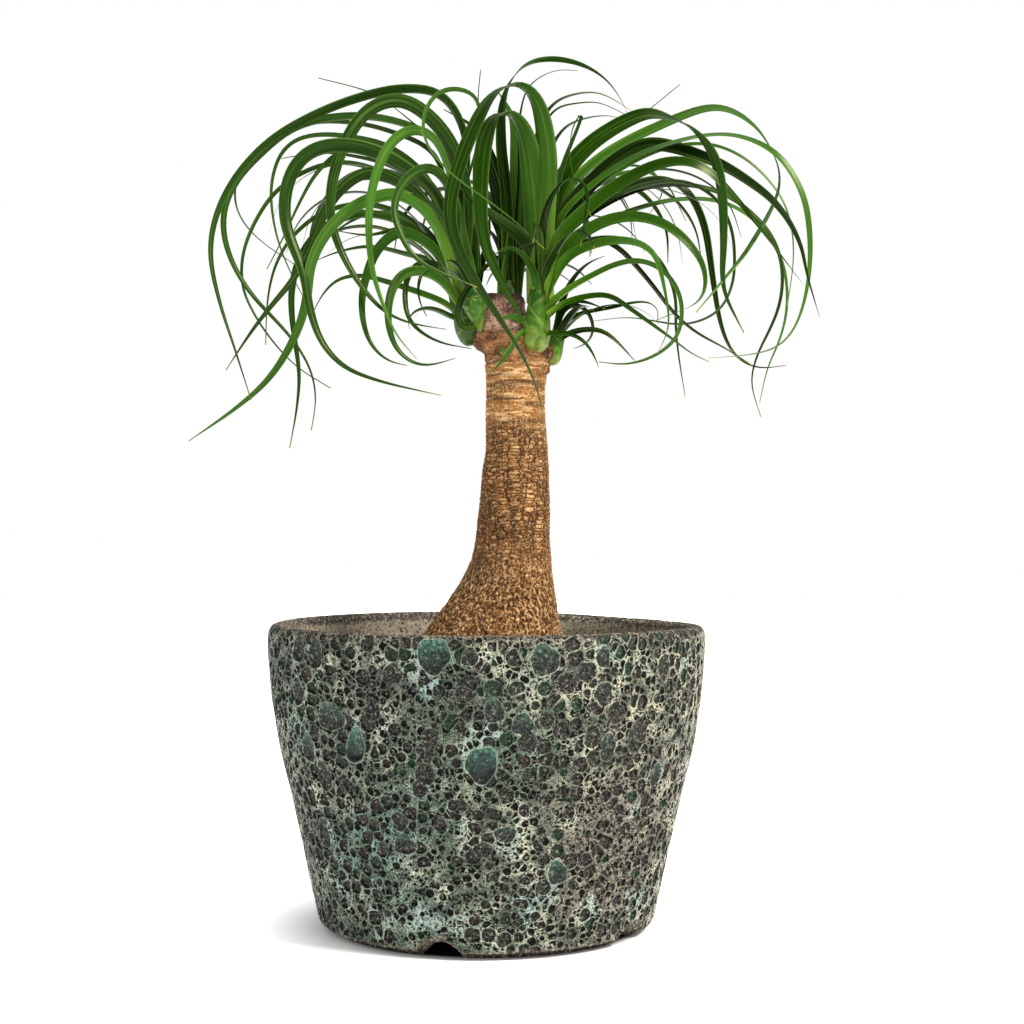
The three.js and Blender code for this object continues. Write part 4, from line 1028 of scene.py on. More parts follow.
# One row a leaf: head, full width, where it leaves the shoot (0 foot, 1 neck), depth half way and
# at the tip, turn of the blade in degrees, and then its route as across, up pairs.
LEAVES = [
    ["left", 10, 1, [10, -30], [60, 45, 30, 30],
     [-20, 600, -19, 655, -38, 688, -70, 693, -105, 686, -142, 672, -180, 650, -210, 618,
      -226, 585, -230, 555, -222, 515, -210, 478, -196, 434]],
    ["left", 9, 1, [40, 15], [70, 45, 30, 30],
     [-30, 620, -42, 650, -70, 664, -100, 670, -130, 669, -162, 660, -190, 637, -208, 617,
      -218, 595, -219, 573, -211, 547, -194, 520, -175, 500, -158, 480, -146, 458, -142, 435,
      -146, 409]],
    ["left", 5, 1, [70, 50], [60, 50, 60],
     [-32, 600, -45, 640, -78, 657, -112, 665, -150, 664, -186, 647, -205, 625, -210, 605,
      -206, 588, -192, 570, -160, 547]],
    ["left", 13, 1, [-24, -62], [30, 25, 15, 20, 30, 40],
     [-17, 590, -27, 640, -46, 668, -72, 684, -98, 676, -117, 650, -128, 618, -130, 588, -122, 560,
      -105, 530, -85, 508, -66, 499, -34, 493]],
    ["left", 10, 1, [-72, -100], [70, 60, 20, 10, 20, 40],
     [-27, 590, -34, 630, -46, 654, -62, 659, -78, 650, -90, 628, -97, 600, -98, 570, -95, 542,
      -86, 513, -76, 490, -58, 468]],
    ["left", 10, 1, [-92, -96], [60, 30, 20, 20],
     [-23, 575, -30, 608, -45, 627, -62, 623, -74, 607, -77, 590, -71, 571, -60, 553, -40, 541,
      -20, 533, -8, 528]],
    ["left", 6, 1, [95, 110], [50, 60, 40],
     [-40, 600, -58, 628, -84, 646, -112, 653, -140, 655, -160, 650, -172, 638, -179, 615,
      -179, 595, -174, 568, -164, 542, -150, 515]],
    ["left", 13, 1, [-56, -92], [50, 25, 20, 30, 40],
     [-43, 603, -70, 628, -100, 643, -130, 646, -150, 639, -163, 622, -168, 600, -167, 580,
      -160, 560, -152, 540, -148, 515, -138, 484, -120, 463, -92, 451, -38, 438]],
    ["left", 7, 1, [30, 40], [50, 45],
     [-46, 605, -78, 628, -110, 637, -140, 640, -171, 635]],
    ["left", 5, 1, [55, 20], [50, 50, 40],
     [-50, 600, -85, 623, -120, 632, -150, 625, -175, 608, -192, 584, -203, 555, -203, 528,
      -193, 505, -178, 483, -158, 462, -130, 444]],
    ["left", 6, 1, [-20, -28], [60, 45, 40],
     [-45, 612, -85, 636, -118, 642, -140, 625, -156, 598, -168, 572, -183, 543]],
    ["left", 11, 1, [-16, -30], [45, 20, 30, 30],
     [-46, 588, -72, 615, -98, 624, -122, 609, -137, 586, -147, 562, -160, 536, -178, 514,
      -193, 495, -206, 476, -217, 459]],
    ["left", 11, 0.9, [-66, 14], [40, 30, 30, 30],
     [-36, 562, -50, 590, -73, 605, -100, 600, -122, 586, -138, 566, -147, 544, -149, 522,
      -155, 498, -168, 471, -184, 449, -208, 428, -248, 400]],
    ["left", 9, 0.9, [-4, -14], [60, 40, 25, 30],
     [-42, 558, -72, 582, -105, 589, -135, 578, -154, 555, -162, 528, -162, 503, -159, 480,
      -156, 455, -158, 428, -164, 394]],
    ["left", 6, 0.9, [62, 70], [60, 40],
     [-50, 572, -92, 596, -132, 592, -160, 572, -175, 548, -182, 520, -184, 480]],
    ["left", 10, 0.8, [-34, -60], [40, 20, 30],
     [-36, 548, -53, 567, -72, 574, -89, 562, -99, 541, -104, 515, -101, 492, -93, 476, -80, 466,
      -66, 463]],
    ["left", 9, 0.7, [-66, -64], [40, 20, 30, 40],
     [-35, 530, -52, 541, -68, 540, -78, 528, -82, 510, -81, 493, -75, 477, -63, 466, -50, 463,
      -26, 469]],
    ["left", 7, 0.5, [-36, -44], [50, 60],
     [-30, 503, -41, 509, -52, 511, -62, 507, -67, 500, -64, 493]],
    ["left", 6, 0.8, [-26, -62], [60, 40, 50],
     [-42, 547, -57, 548, -66, 536, -68, 518, -65, 502, -55, 491, -38, 482, -13, 477]],
    ["left", 6, 0.5, [-18, -34], [60, 50, 50],
     [-34, 514, -52, 522, -75, 530, -95, 536, -108, 538, -125, 534, -138, 520, -144, 508]],
    ["left", 5, 0.9, [-14, -16], [40, 50],
     [-42, 550, -51, 545, -57, 531, -56, 516, -50, 504]],
    ["left", 7, 0.8, [26, 30], [50, 50],
     [-46, 549, -66, 555, -84, 560, -100, 562, -125, 557, -145, 549]],
    ["left", 6, 0.9, [-22, -26], [50, 50],
     [-46, 566, -66, 577, -82, 575, -97, 571, -125, 575]],
    ["left", 8, 0.9, [44, 60], [50, 40],
     [-46, 570, -70, 586, -95, 590, -118, 580, -136, 566]],
    ["left", 4, 1, [2, 0], [60, 60],
     [-27, 600, -33, 632, -46, 651, -64, 667, -89, 687]],
    ["left", 7, 1, [-64, -122], [80, 60, 60, 50],
     [-20, 600, -7, 655, -9, 686, -25, 693, -40, 690, -50, 677, -53, 662, -50, 648, -42, 636,
      -26, 620, -4, 604, 20, 586, 48, 560]],
    ["left", 4, 1, [80, 120], [60, 60],
     [-26, 620, -45, 664, -75, 681, -105, 693, -140, 702]],
    ["front", 8, 0.35, [-46, -52], [40, 40, 50],
     [-19, 494, -24, 505, -21, 518, -11, 533, 1, 547, 14, 556, 28, 561, 40, 566]],
    ["front", 9, 0.9, [-30, -32], [20, 10],
     [-9, 550, -9, 575, -4, 604]],
    ["front", 11, 1, [-48, -62], [30, 40],
     [-17, 550, -30, 577, -47, 598, -66, 607]],
    ["front", 10, 1, [-46, -50], [20, 20],
     [-15, 548, -20, 576, -19, 606]],
    ["front", 8, 0.9, [-30, -30], [30, 30],
     [-4, 548, 2, 572, 2, 592]],
    ["right", 17, 1, [-74, -62], [15, 25, 90, 150, 160, 140, 122, 118],
     [47, 580, 50, 625, 48, 655, 43, 678, 35, 693, 25, 698, 12, 694, 1, 683, -9, 664, -20, 638,
      -28, 612, -31, 592, -28, 572, -20, 552, -8, 531, 8, 506, 22, 485, 34, 463, 43, 440, 46, 427,
      47.3, 415]],
    ["right", 21, 1, [-58, -52], [15, 25, 80, 150, 165, 160, 140],
     [40, 580, 37, 620, 33, 648, 26, 667, 16, 674, 7, 671, 0, 655, -4, 632, -5, 605, -4, 580,
      1, 557, 9, 539, 20, 518, 38, 489]],
    ["right", 8, 1, [-70, -86], [40, 60, 90, 60],
     [54, 590, 63, 630, 75, 660, 80, 674, 73, 665, 69, 645, 71, 625, 79, 604, 87, 587]],
    ["right", 15, 1, [-66, -96], [20, 15, 20, 90, 160, 165, 150],
     [53, 590, 66, 623, 82, 643, 100, 657, 120, 668, 136, 673, 150, 669, 164, 665, 176, 655,
      187, 641, 193, 624, 196, 604, 197, 582, 197, 560, 196, 540, 198, 523, 214, 490]],
    ["right", 11, 1, [-6, -116], [40, 30, 40, 90, 150, 165],
     [62, 600, 90, 632, 122, 652, 150, 665, 172, 674, 190, 678, 206, 674, 224, 661, 236, 644,
      243, 627, 243, 610, 236, 592, 226, 574, 214, 555, 200, 538, 186, 521, 174, 507]],
    ["right", 9, 1, [-70, -112], [50, 55, 60, 30, 20, 50, 70],
     [62, 585, 95, 618, 125, 637, 155, 648, 180, 654, 202, 655, 222, 650, 240, 640, 254, 623,
      264, 602, 268, 580, 269, 555, 266, 525, 256, 494, 243, 479, 225, 473, 184, 469]],
    ["right", 15, 1, [-56, -126], [20, 20, 30, 50],
     [57, 578, 75, 601, 95, 622, 115, 638, 135, 647, 153, 645, 173, 639, 195, 630, 218, 616,
      238, 600, 253, 580, 262, 560, 266, 540, 277, 503]],
    ["right", 5, 1, [16, -20], [50, 50],
     [70, 590, 110, 625, 150, 644, 185, 647, 210, 638, 232, 620, 247, 599, 254, 575, 255, 550,
      250, 512]],
    ["right", 8, 1, [-12, -30], [50, 45, 40, 30],
     [62, 565, 92, 592, 130, 610, 168, 613, 200, 604, 222, 588, 236, 572, 244, 553, 246, 533,
      243, 512, 235, 492, 226, 474, 220, 450, 228, 420]],
    ["right", 8, 0.9, [34, 44], [50, 50, 40, 30],
     [62, 552, 92, 578, 125, 593, 160, 601, 195, 599, 220, 586, 238, 565, 247, 545, 250, 520,
      248, 500, 242, 480, 234, 462, 227, 432]],
    ["right", 12, 0.9, [-44, -56], [25, 25, 20, 50, 140],
     [62, 556, 82, 574, 102, 584, 122, 587, 142, 583, 158, 574, 171, 561, 180, 546, 182, 530,
      178, 518, 168, 511, 154, 506, 140, 500]],
    ["right", 10, 0.85, [-88, -92], [30, 30, 50, 60],
     [66, 551, 88, 563, 110, 567, 128, 564, 139, 556, 144, 543, 148, 525, 151, 508, 151, 493,
      142, 473]],
    ["right", 9, 0.7, [-52, -74], [60, 50, 50, 40],
     [66, 524, 88, 537, 106, 546, 124, 550, 140, 546, 153, 535, 161, 519, 162, 503, 159, 489,
      150, 478, 135, 469, 115, 464, 93, 466]],
    ["right", 6, 0.95, [-30, -42], [50, 40],
     [68, 556, 92, 568, 109, 561, 124, 546, 140, 527, 156, 506, 175, 490, 197, 478, 221, 463]],
    ["right", 6, 0.55, [-78, -90], [50, 40],
     [62, 513, 82, 520, 102, 521, 118, 511, 135, 499, 157, 483, 170, 473, 185, 466]],
    ["right", 7, 1, [-16, -38], [50, 50, 60],
     [72, 580, 118, 608, 162, 616, 190, 602, 203, 578, 206, 550, 204, 530, 195, 511, 180, 501,
      160, 497, 140, 500, 118, 503, 89, 500]],
    ["right", 7, 0.95, [-22, -30], [50, 40],
     [70, 560, 105, 569, 135, 559, 150, 540, 157, 518, 157, 497, 159, 475, 165, 437]],
    ["right", 10, 1, [14, 0], [50, 40, 20, 20, 40],
     [62, 568, 90, 592, 118, 611, 142, 618, 162, 612, 174, 597, 182, 575, 186, 550, 190, 522,
      194, 500, 200, 482, 209, 469, 225, 461, 249, 463]],
    ["right", 12, 1, [-78, -40], [20, 20, 30, 60],
     [60, 568, 78, 588, 100, 607, 122, 621, 145, 631, 165, 633, 182, 627, 198, 612, 214, 594,
      230, 574, 246, 553, 264, 529]],
    ["right", 8, 1, [56, 80], [50, 30],
     [70, 590, 104, 620, 134, 624, 152, 611, 159, 597, 166, 583]],
    ["right", 8, 1, [86, 110], [50, 30],
     [72, 600, 108, 628, 136, 626, 147, 611, 143, 599, 136, 590]],
    ["right", 11, 1, [-84, -94], [30, 60, 120, 150],
     [47, 575, 55, 604, 68, 619, 79, 617, 84, 605, 82, 588, 78, 562]],
    ["right", 9, 0.7, [-52, -60], [40, 50],
     [40, 536, 34, 550, 26, 559, 17, 562, 4, 553]],
    ["right", 8, 0.4, [-34, -42], [50, 40],
     [30, 491, 22, 479, 13, 467, 4, 457]],
    ["right", 8, 0.5, [-30, -36], [40, 20],
     [32, 499, 21, 504, 8, 500]],
    ["right", 13, 0.95, [-46, -44], [30, 40],
     [36, 560, 20, 577, 2, 590, -16, 604, -28, 618]],
    ["right", 7, 0.35, [-38, -36], [50, 40],
     [52, 489, 64, 490, 76, 487, 84, 480, 89, 472, 93, 462]],
    ["right", 9, 0.5, [-40, -46], [40, 50],
     [56, 509, 68, 516, 82, 516, 98, 510]],
    ["side", 6, 0.9, [-8, -10], [50, 50],
     [70, 490, 84, 493, 96, 492, 106, 485, 123, 467]],
    ["side", 8, 1, [-12, -22], [40, 50, 60],
     [63, 508, 73, 514, 83, 509, 88, 499, 88, 488, 82, 480, 72, 477]],
    ["side", 5, 1, [4, 4], [60, 60],
     [69, 502, 86, 508, 104, 511, 120, 515, 135, 516, 144, 509, 142, 501]],
    ["side", 8, 1, [4, 12], [40, 50],
     [63, 516, 71, 534, 84, 548, 98, 554]],
    ["back", 11, 1, [30, 12], [20, 20, 90, 150, 110, 100],
     [17, 600, 12, 650, 14, 684, 22, 703, 34, 714, 52, 718, 70, 716, 86, 710, 100, 700, 110, 687,
      117, 673]],
    ["back", 9, 1, [34, 24], [50, 50],
     [38, 620, 44, 662, 57, 682, 75, 689, 92, 690, 106, 684, 120, 675]],
    ["back", 5, 1, [44, 40], [60, 60],
     [36, 610, 44, 655, 58, 677, 75, 681, 92, 682, 117, 671]],
    ["back", 9, 1, [56, 60], [50, 50],
     [40, 600, 52, 640, 66, 662, 84, 669, 100, 671, 114, 668]],
    ["back", 4, 1, [60, 70], [50, 50],
     [6, 600, -6, 660, -7, 690, -5, 709]],
    ["back", 4, 1, [22, 16], [60, 60],
     [27, 620, 27, 665, 34, 694, 46, 704, 60, 709, 76, 708]],
    ["back", 4, 1, [70, 90], [50, 50],
     [60, 610, 92, 645, 120, 664, 161, 697]],
    ["back", 19, 1, [40, 52], [5, 20],
     [27, 585, 25, 632, 21, 670, 10, 690]],
    ["back", 17, 1, [56, 70], [10, 25],
     [16, 590, 8, 628, -2, 656]],
    ["back", 11, 1, [60, 84], [40, 40],
     [12, 590, 3, 628, -10, 660, -36, 676]],
]
# Whorls at the back and underneath: head, number, first bearing and sweep, least and most length,
# and first and last rise, with the angles in degrees.
WHORLS = [
    ["back", 11, 22, 138, 186, 252, 85, -106],
    ["back", 4, 10, 160, 90, 160, 70, -70],
    ["left", 4, 134, 40, 200, 290, 78, -96],
    ["left", 2, 150, 50, 90, 150, 50, -55],
    ["right", 4, -4, 50, 180, 250, 76, -96],
    ["front", 2, 232, 24, 60, 84, 44, -60],
    ["side", 2, -60, 90, 60, 90, 40, -60],
    ["right", 2, 266, 44, 90, 130, 50, -60],
    ["back", 4, 52, 76, 120, 180, 88, -20],
    ["back", 6, 30, 120, 50, 100, 25, -60],
]
# A whorl's leaf is 6 mm wide and a millimetre more for each 50 of its length, up to 13.
WHORL_NARROW = 6
WHORL_BROAD = 13
WHORL_STEP = 50
# Straight hops in a whorl's leaf, the points that round off each hop of a route, and the spacing
# of a leaf's stations, with the fewest and the most of them.
WHORL_HOPS = 8
PER_HOP = 24
STATION = 4.0
FEWEST = 16
MOST = 96
# A leaf under 7 mm turns less out of its plane, one over 16 mm is painted paler as a painted
# sheen, and whorls are painted darker as painted shade.
NARROW = 7
NARROW_TURN = 0.6
BROAD = 16
BROAD_PAINTED_SHEEN = -0.6
WHORL_PAINTED_SHADE = 0.9
# Half width of the thinnest tip.
TIP_HALF = 0.5
# Where along a leaf its clasping foot ends, as a share of its length.
FOOT_END = 0.22


def seen(x, z, depth):
    """A point read in the plane through the pot's axis, moved along its line of sight to a
    depth."""
    eye_x, eye_y, eye_z = EYE_MM
    k = 1 - depth / eye_y
    return np.array((eye_x + (x - eye_x) * k, depth, eye_z + (z - eye_z) * k))


def along_base(head, share):
    """A point on the axis of a shoot, from its foot (0) to its neck (1)."""
    foot, neck, _ = HEADS[head]
    return seen(*foot) * (1 - share) + seen(*neck) * share


def read_route(head, leave, depths, flat):
    """Out of the shoot, then through the leaf's read points. Its depth follows a curve from the
    shoot through the depth half way to the one at the tip."""
    read = np.asarray(flat, float).reshape(-1, 2)
    gone = np.concatenate([[0], np.cumsum(np.hypot(*np.diff(read, axis=0).T))])
    route = [along_base(head, leave * 0.66)]
    start = route[0][1]
    for (x, z), share in zip(read, 0.12 + 0.88 * gone / gone[-1]):
        depth = (
            start * (1 - share) * (1 - 2 * share)
            + 4 * depths[0] * share * (1 - share)
            + depths[1] * share * (2 * share - 1)
        )
        route.append(seen(x, z, depth))
    return np.asarray(route)


def whorl_route(head, bearing, length, rise, fall, key):
    """A leaf that rises from the shoot and bends over under its own weight, in equal hops."""
    route = [along_base(head, 0.62)]
    swirl = (draw(key + 0.7) - 0.5) * 0.5
    outwards = np.array((math.cos(bearing), math.sin(bearing), 0))
    here = along_base(head, 0.98) + 0.4 * HEADS[head][2] * outwards
    for k in range(WHORL_HOPS):
        f = (k + 0.5) / WHORL_HOPS
        pitch = math.radians(rise + (fall - rise) * f**1.4)
        a = bearing + swirl * f
        step = (math.cos(a) * math.cos(pitch), math.sin(a) * math.cos(pitch), math.sin(pitch))
        here = here + np.array(step) * length / WHORL_HOPS
        route.append(here)
    return np.asarray(route)


def rounded(route):
    """A smooth line through the points of a route, with its place in the route at each point."""
    first, last = 2 * route[0] - route[1], 2 * route[-1] - route[-2]
    held = np.vstack([first, route, last])
    line, place = [], []
    for i in range(len(route) - 1):
        p0, p1, p2, p3 = held[i : i + 4]
        d0, d1, d2 = (math.sqrt(np.linalg.norm(b - a)) for a, b in ((p0, p1), (p1, p2), (p2, p3)))
        m1 = d1 * ((p1 - p0) / d0 - (p2 - p0) / (d0 + d1) + (p2 - p1) / d1)
        m2 = d1 * ((p2 - p1) / d1 - (p3 - p1) / (d1 + d2) + (p3 - p2) / d2)
        for t in np.linspace(0, 1, PER_HOP, endpoint=False):
            square = (-3 * p1 + 3 * p2 - 2 * m1 - m2) * t**2
            line.append(p1 + m1 * t + square + (2 * p1 - 2 * p2 + m1 + m2) * t**3)
            place.append(i + t)
    line.append(route[-1])
    place.append(len(route) - 1)
    return np.asarray(line), np.asarray(place) / (len(route) - 1)


def softened(values, passes):
    """Values along a line, each drawn towards its neighbours a number of times."""
    values = values.copy()
    for _ in range(passes):
        values[1:-1] = (values[:-2] + 2 * values[1:-1] + values[2:]) / 4
    return values


def unit(vectors):
    """Vectors cut to a length of 1."""
    return vectors / np.linalg.norm(vectors, axis=1)[:, None]


def taper(share):
    """Width of a blade along it: a little broader at its clasping foot, then down to its tip."""
    low = 1.15 - 0.15 * np.sin(np.minimum(share, FOOT_END) / FOOT_END * math.pi / 2)
    high = 1 - 0.95 * (np.maximum(share - FOOT_END, 0) / (1 - FOOT_END)) ** 1.6
    return np.where(share < FOOT_END, low, high)


def midrib(route, width, rolls, side, key, shade):
    """The middle line of one leaf, with its width, its lie and its cupping at each point. The
    blade lies across the line and the side given, and its rolls turn it from there."""
    line, place = rounded(route)
    gone = np.concatenate([[0], np.cumsum(np.linalg.norm(np.diff(line, axis=0), axis=1))])
    count = int(np.clip(round(gone[-1] / STATION), FEWEST, MOST))
    even = np.linspace(0, gone[-1], count)
    points = np.stack([np.interp(even, gone, line[:, k]) for k in range(3)], 1)
    place = np.interp(even, gone, place)
    points = softened(points, 4)
    tangent = unit(np.gradient(points, axis=0))
    side = np.broadcast_to(np.asarray(side, float), tangent.shape)
    across = unit(np.cross(tangent, side))
    outward = unit(side - tangent * np.sum(side * tangent, 1)[:, None])
    roll = np.interp(place * (len(rolls) - 1), np.arange(len(rolls)), np.radians(rolls))
    roll = softened(roll, 6)[:, None]
    wide = across * np.cos(roll) + outward * np.sin(roll)
    for i in range(1, count):
        if np.dot(wide[i], wide[i - 1]) < 0:
            wide[i:] *= -1
    wide = softened(wide, 6)
    wide = unit(wide - tangent * np.sum(wide * tangent, 1)[:, None])
    thin = np.cross(tangent, wide)
    if thin[np.argmax(points[:, 2])][2] < 0:
        wide, thin = -wide, -thin
    share = even / gone[-1]
    half = np.maximum(TIP_HALF, width / 2 * taper(share))
    keel = 0.5 + 0.25 * draw(key + 0.15)
    cup = keel * np.exp(-((share / 0.26) ** 2)) + 0.1 + 0.12 * draw(key + 0.55)
    return {
        "points": points, "wide": wide, "thin": thin, "half": half, "cup": cup, "along": share,
        "gone": even, "tone": np.full(count, draw(key + 0.85) + shade),
    }


ribs = {name: [] for name in HEADS}
for n, (head, width, leave, depths, rolls, flat) in enumerate(LEAVES):
    route = read_route(head, leave, depths, flat)
    rolls = [NARROW_TURN * roll for roll in rolls] if width < NARROW else rolls
    shade = BROAD_PAINTED_SHEEN if width > BROAD else 0.0
    ribs[head].append(midrib(route, width, rolls, (0, 1, 0), 400 + n, shade))
for row, (head, count, first, sweep, shortest, longest, rise, fall) in enumerate(WHORLS):
    for i in range(count):
        key = 31 * row + i + 1
        share = (i * GOLDEN + draw(key) * 0.08) % 1
        bearing = math.radians(first + sweep * share)
        length = shortest + (longest - shortest) * draw(key + 0.3)
        up = rise + 14 * (draw(key + 0.5) - 0.5)
        route = whorl_route(head, bearing, length, up, fall + 20 * draw(key + 0.9), key)
        lean = 50 * (draw(key + 0.2) - 0.5)
        rolls = (90, 90 + lean, 90 + 1.6 * lean)
        side = (-math.sin(bearing), math.cos(bearing), 0)
        width = min(WHORL_BROAD, WHORL_NARROW + length / WHORL_STEP)
        ribs[head].append(midrib(route, width, rolls, side, key, WHORL_PAINTED_SHADE))


# Spacing of the veins, which is as fine as shows, how far one runs before it fades, and how far
# they move on in the noise with a leaf's tone, so that no two leaves match.
VEIN_SPACING = 1.1
VEIN_RUN = 90
VEIN_SHIFT = 90.0
# The leaves are darkest round this spot inside the crown, where they shade one another.
CROWN_MIDDLE = (14, 48, 590)


def leaf_finish():
    """Ponytail palm leaf: tough satin skin, deep green, paler underneath and yellow-green at the
    foot, with fine lengthwise veins and a dry tip."""
    material, tree, shader = finish_surface(
        "satin_palm_leaf", Roughness=0.27, IOR=1.45, Specular_IOR_Level=0.15,
        Specular_Tint=linear("#e6f0b4"),
    )
    along, across, half, gone, tone, upper = (
        add(tree, "ShaderNodeAttribute", attribute_name=name).outputs["Fac"]
        for name in ("along", "across", "half", "gone", "tone", "upper")
    )
    rim = add(tree, "ShaderNodeMath", {0: across}, operation="ABSOLUTE").outputs[0]
    # Veins: a noise laid out by the place on the blade.
    sideways = {0: across, 1: half}
    sideways = add(tree, "ShaderNodeMath", sideways, operation="MULTIPLY").outputs[0]
    spots = []
    for value, scale in (
        (sideways, 1 / (VEIN_SPACING * MM)), (gone, 1 / (VEIN_RUN * MM)), (tone, VEIN_SHIFT)
    ):
        value = {0: value, 1: scale}
        spots.append(add(tree, "ShaderNodeMath", value, operation="MULTIPLY").outputs[0])
    vein = add(tree, "ShaderNodeCombineXYZ", dict(enumerate(spots))).outputs[0]
    vein = add(tree, "ShaderNodeTexNoise", {"Vector": vein, "Scale": 0.7, "Detail": 1.0}).outputs[0]
    at = add(tree, "ShaderNodeTexCoord").outputs["Object"]
    inward = {0: at, 1: [mm * MM for mm in CROWN_MIDDLE]}
    inward = add(tree, "ShaderNodeVectorMath", inward, operation="DISTANCE").outputs[1]
    green = coats(
        tree,
        "#a5bf4e",
        [
            (along, 0.0, 0.07, 1.0, "#7aa32c"),
            (along, 0.06, 0.2, 1.0, "#356602"),
            (along, 0.2, 0.45, 1.0, "#193900"),
            # Tone differs at random from leaf to leaf; whorl leaves are pushed darker as painted
            # shade, and broad leaves paler as painted sheen.
            (tone, 0.3, 0.75, 0.9, "#071800"),
            (tone, 0.27, -0.2, 0.85, "#54892b"),
            (upper, 0.1, -0.1, 0.25, "#40672a"),
            # Painted shade: the whorls inside and behind the crown are darkest.
            (tone, 1.0, 2.0, 0.9, "#051200"),
            (inward, 0.105, 0.04, 0.8, "#081b00"),
            (vein, 0.52, 0.3, 0.25, "#122f02"),
            (vein, 0.52, 0.75, 0.22, "#7fa84a"),
            # Painted highlight: a thin pale band along each leaf's edges.
            (rim, 0.85, 1.0, 0.25, "#8db05c"),
            (along, 0.96, 1.0, 0.85, "#8a8a35"),
        ],
    )
    tree.links.new(green, shader.inputs["Base Color"])
    return material


# Thickness of a blade as a share of its width, and the corners of its section.
THICKNESS = 0.08
SECTION_CORNERS = 14


def strap_leaves():
    """Runs a thin lens-shaped blade along each midrib, as wide and turned as its leaf, and cups
    it lengthwise."""
    group, given = node_group("strap_leaves", {"Thickness": "Float"})
    kinds = {
        "wide": "FLOAT_VECTOR", "thin": "FLOAT_VECTOR", "half": "FLOAT", "cup": "FLOAT",
        "across": "FLOAT",
    }
    wide, thin, half, cup, across = (
        add(group, "GeometryNodeInputNamedAttribute", {"Name": name}, data_type=kind).outputs[0]
        for name, kind in kinds.items()
    )
    spine = add(group, "GeometryNodeMeshToCurve", {0: given.outputs[0]})
    spine = {0: spine.outputs[0], "Normal": wide}
    spine = add(group, "GeometryNodeSetCurveNormal", spine, mode="FREE")
    lens = {"Resolution": SECTION_CORNERS, "Radius": 1.0}
    lens = add(group, "GeometryNodeCurvePrimitiveCircle", lens)
    spot = add(group, "GeometryNodeInputPosition").outputs[0]
    spot = add(group, "ShaderNodeSeparateXYZ", {0: spot})
    for name, value in (("across", spot.outputs[0]), ("upper", spot.outputs[1])):
        lens = {0: lens.outputs[0], "Name": name, "Value": value}
        lens = add(group, "GeometryNodeStoreNamedAttribute", lens)
    flat = add(group, "ShaderNodeCombineXYZ", {0: 1.0, 1: given.outputs["Thickness"], 2: 1.0})
    lens = {0: lens.outputs[0], "Scale": flat.outputs[0]}
    lens = add(group, "GeometryNodeTransform", lens)
    blade = {0: spine.outputs[0], 1: lens.outputs[0], "Scale": half, "Fill Caps": True}
    blade = add(group, "GeometryNodeCurveToMesh", blade)
    bow = add(group, "ShaderNodeMath", {0: across}, operation="ABSOLUTE").outputs[0]
    for operation, amount in (
        ("POWER", 1.5), ("SUBTRACT", 0.35), ("MULTIPLY", cup), ("MULTIPLY", half)
    ):
        bow = add(group, "ShaderNodeMath", {0: bow, 1: amount}, operation=operation).outputs[0]
    lift = add(group, "ShaderNodeVectorMath", {0: thin, 3: bow}, operation="SCALE").outputs[0]
    cupped = add(group, "GeometryNodeSetPosition", {0: blade.outputs[0], "Offset": lift})
    # The caps at the ends meet the blade in a crisp edge.
    fold = add(group, "GeometryNodeInputMeshEdgeAngle").outputs[0]
    fold = add(group, "FunctionNodeCompare", {0: fold, 1: 1.0}, operation="GREATER_THAN")
    crisp = {0: cupped.outputs[0], "Selection": fold.outputs[0], "Shade Smooth": False}
    crisp = add(group, "GeometryNodeSetShadeSmooth", crisp, domain="EDGE")
    close_group(group, crisp.outputs[0], leaf_finish())
    return group


leaf_tree = strap_leaves()
for head, lines in ribs.items():
    points = np.vstack([line["points"] for line in lines])
    edges, start = [], 0
    for line in lines:
        edges += [(start + i, start + i + 1) for i in range(len(line["points"]) - 1)]
        start += len(line["points"])
    mesh = bpy.data.meshes.new(f"midribs_{head}")
    mesh.from_pydata([tuple(p) for p in points * MM], edges, [])
    for label, kind, scale in (
        ("wide", "FLOAT_VECTOR", 1), ("thin", "FLOAT_VECTOR", 1), ("half", "FLOAT", MM),
        ("cup", "FLOAT", 1), ("along", "FLOAT", 1), ("gone", "FLOAT", MM), ("tone", "FLOAT", 1),
    ):
        values = [line[label] for line in lines]
        stacked = np.vstack(values) if kind == "FLOAT_VECTOR" else np.concatenate(values)
        store(mesh, label, stacked * scale, kind)
    spine = bpy.data.objects.new(f"midribs_{head}", mesh)
    bpy.context.scene.collection.objects.link(spine)
    leaves = grown(spine, f"leaves_{head}", leaf_tree, {"Thickness": THICKNESS})
    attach(leaves, "root")
    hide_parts(f"leaf_head_{head}")


# Shoot bases: a green bulb at the foot of each head, wrapped in the broad clasping feet of its
# outer leaves, whose papery edges cross it, and one small bud in front of the collar. Each is
# turned round its own leaning axis.

# How a bulb swells: pairs of the share of its height and the share of its radius.
BASE_SWELL = [(0, 0.5), (0.03, 0.7), (0.1, 0.9), (0.24, 1), (0.5, 0.9), (0.8, 0.74), (1.05, 0.3)]
# The shoot in front is a pod, pointed at its foot.
POD_SWELL = [
    (0, 0.1), (0.08, 0.26), (0.2, 0.43), (0.36, 0.64), (0.66, 1), (0.9, 0.93), (1.05, 0.6)
]
# Heads whose shoots stand in deep shade, and are painted darker as painted shade.
SHADED_SHOOTS = ("left", "back")
BUD = ((14, 473, -24), (13.6, 479, -27), 2.9)
BASE_ROWS = 56
BASE_COLUMNS = 96
# A bulb is this much thinner than its radius, and each sheath on it adds a step. The sheaths
# follow one another round it by this many degrees.
BASE_SUNK = 1.2
SHEATHS = 3
SHEATH_STEP = 0.5
SHEATH_TURN = 137.5


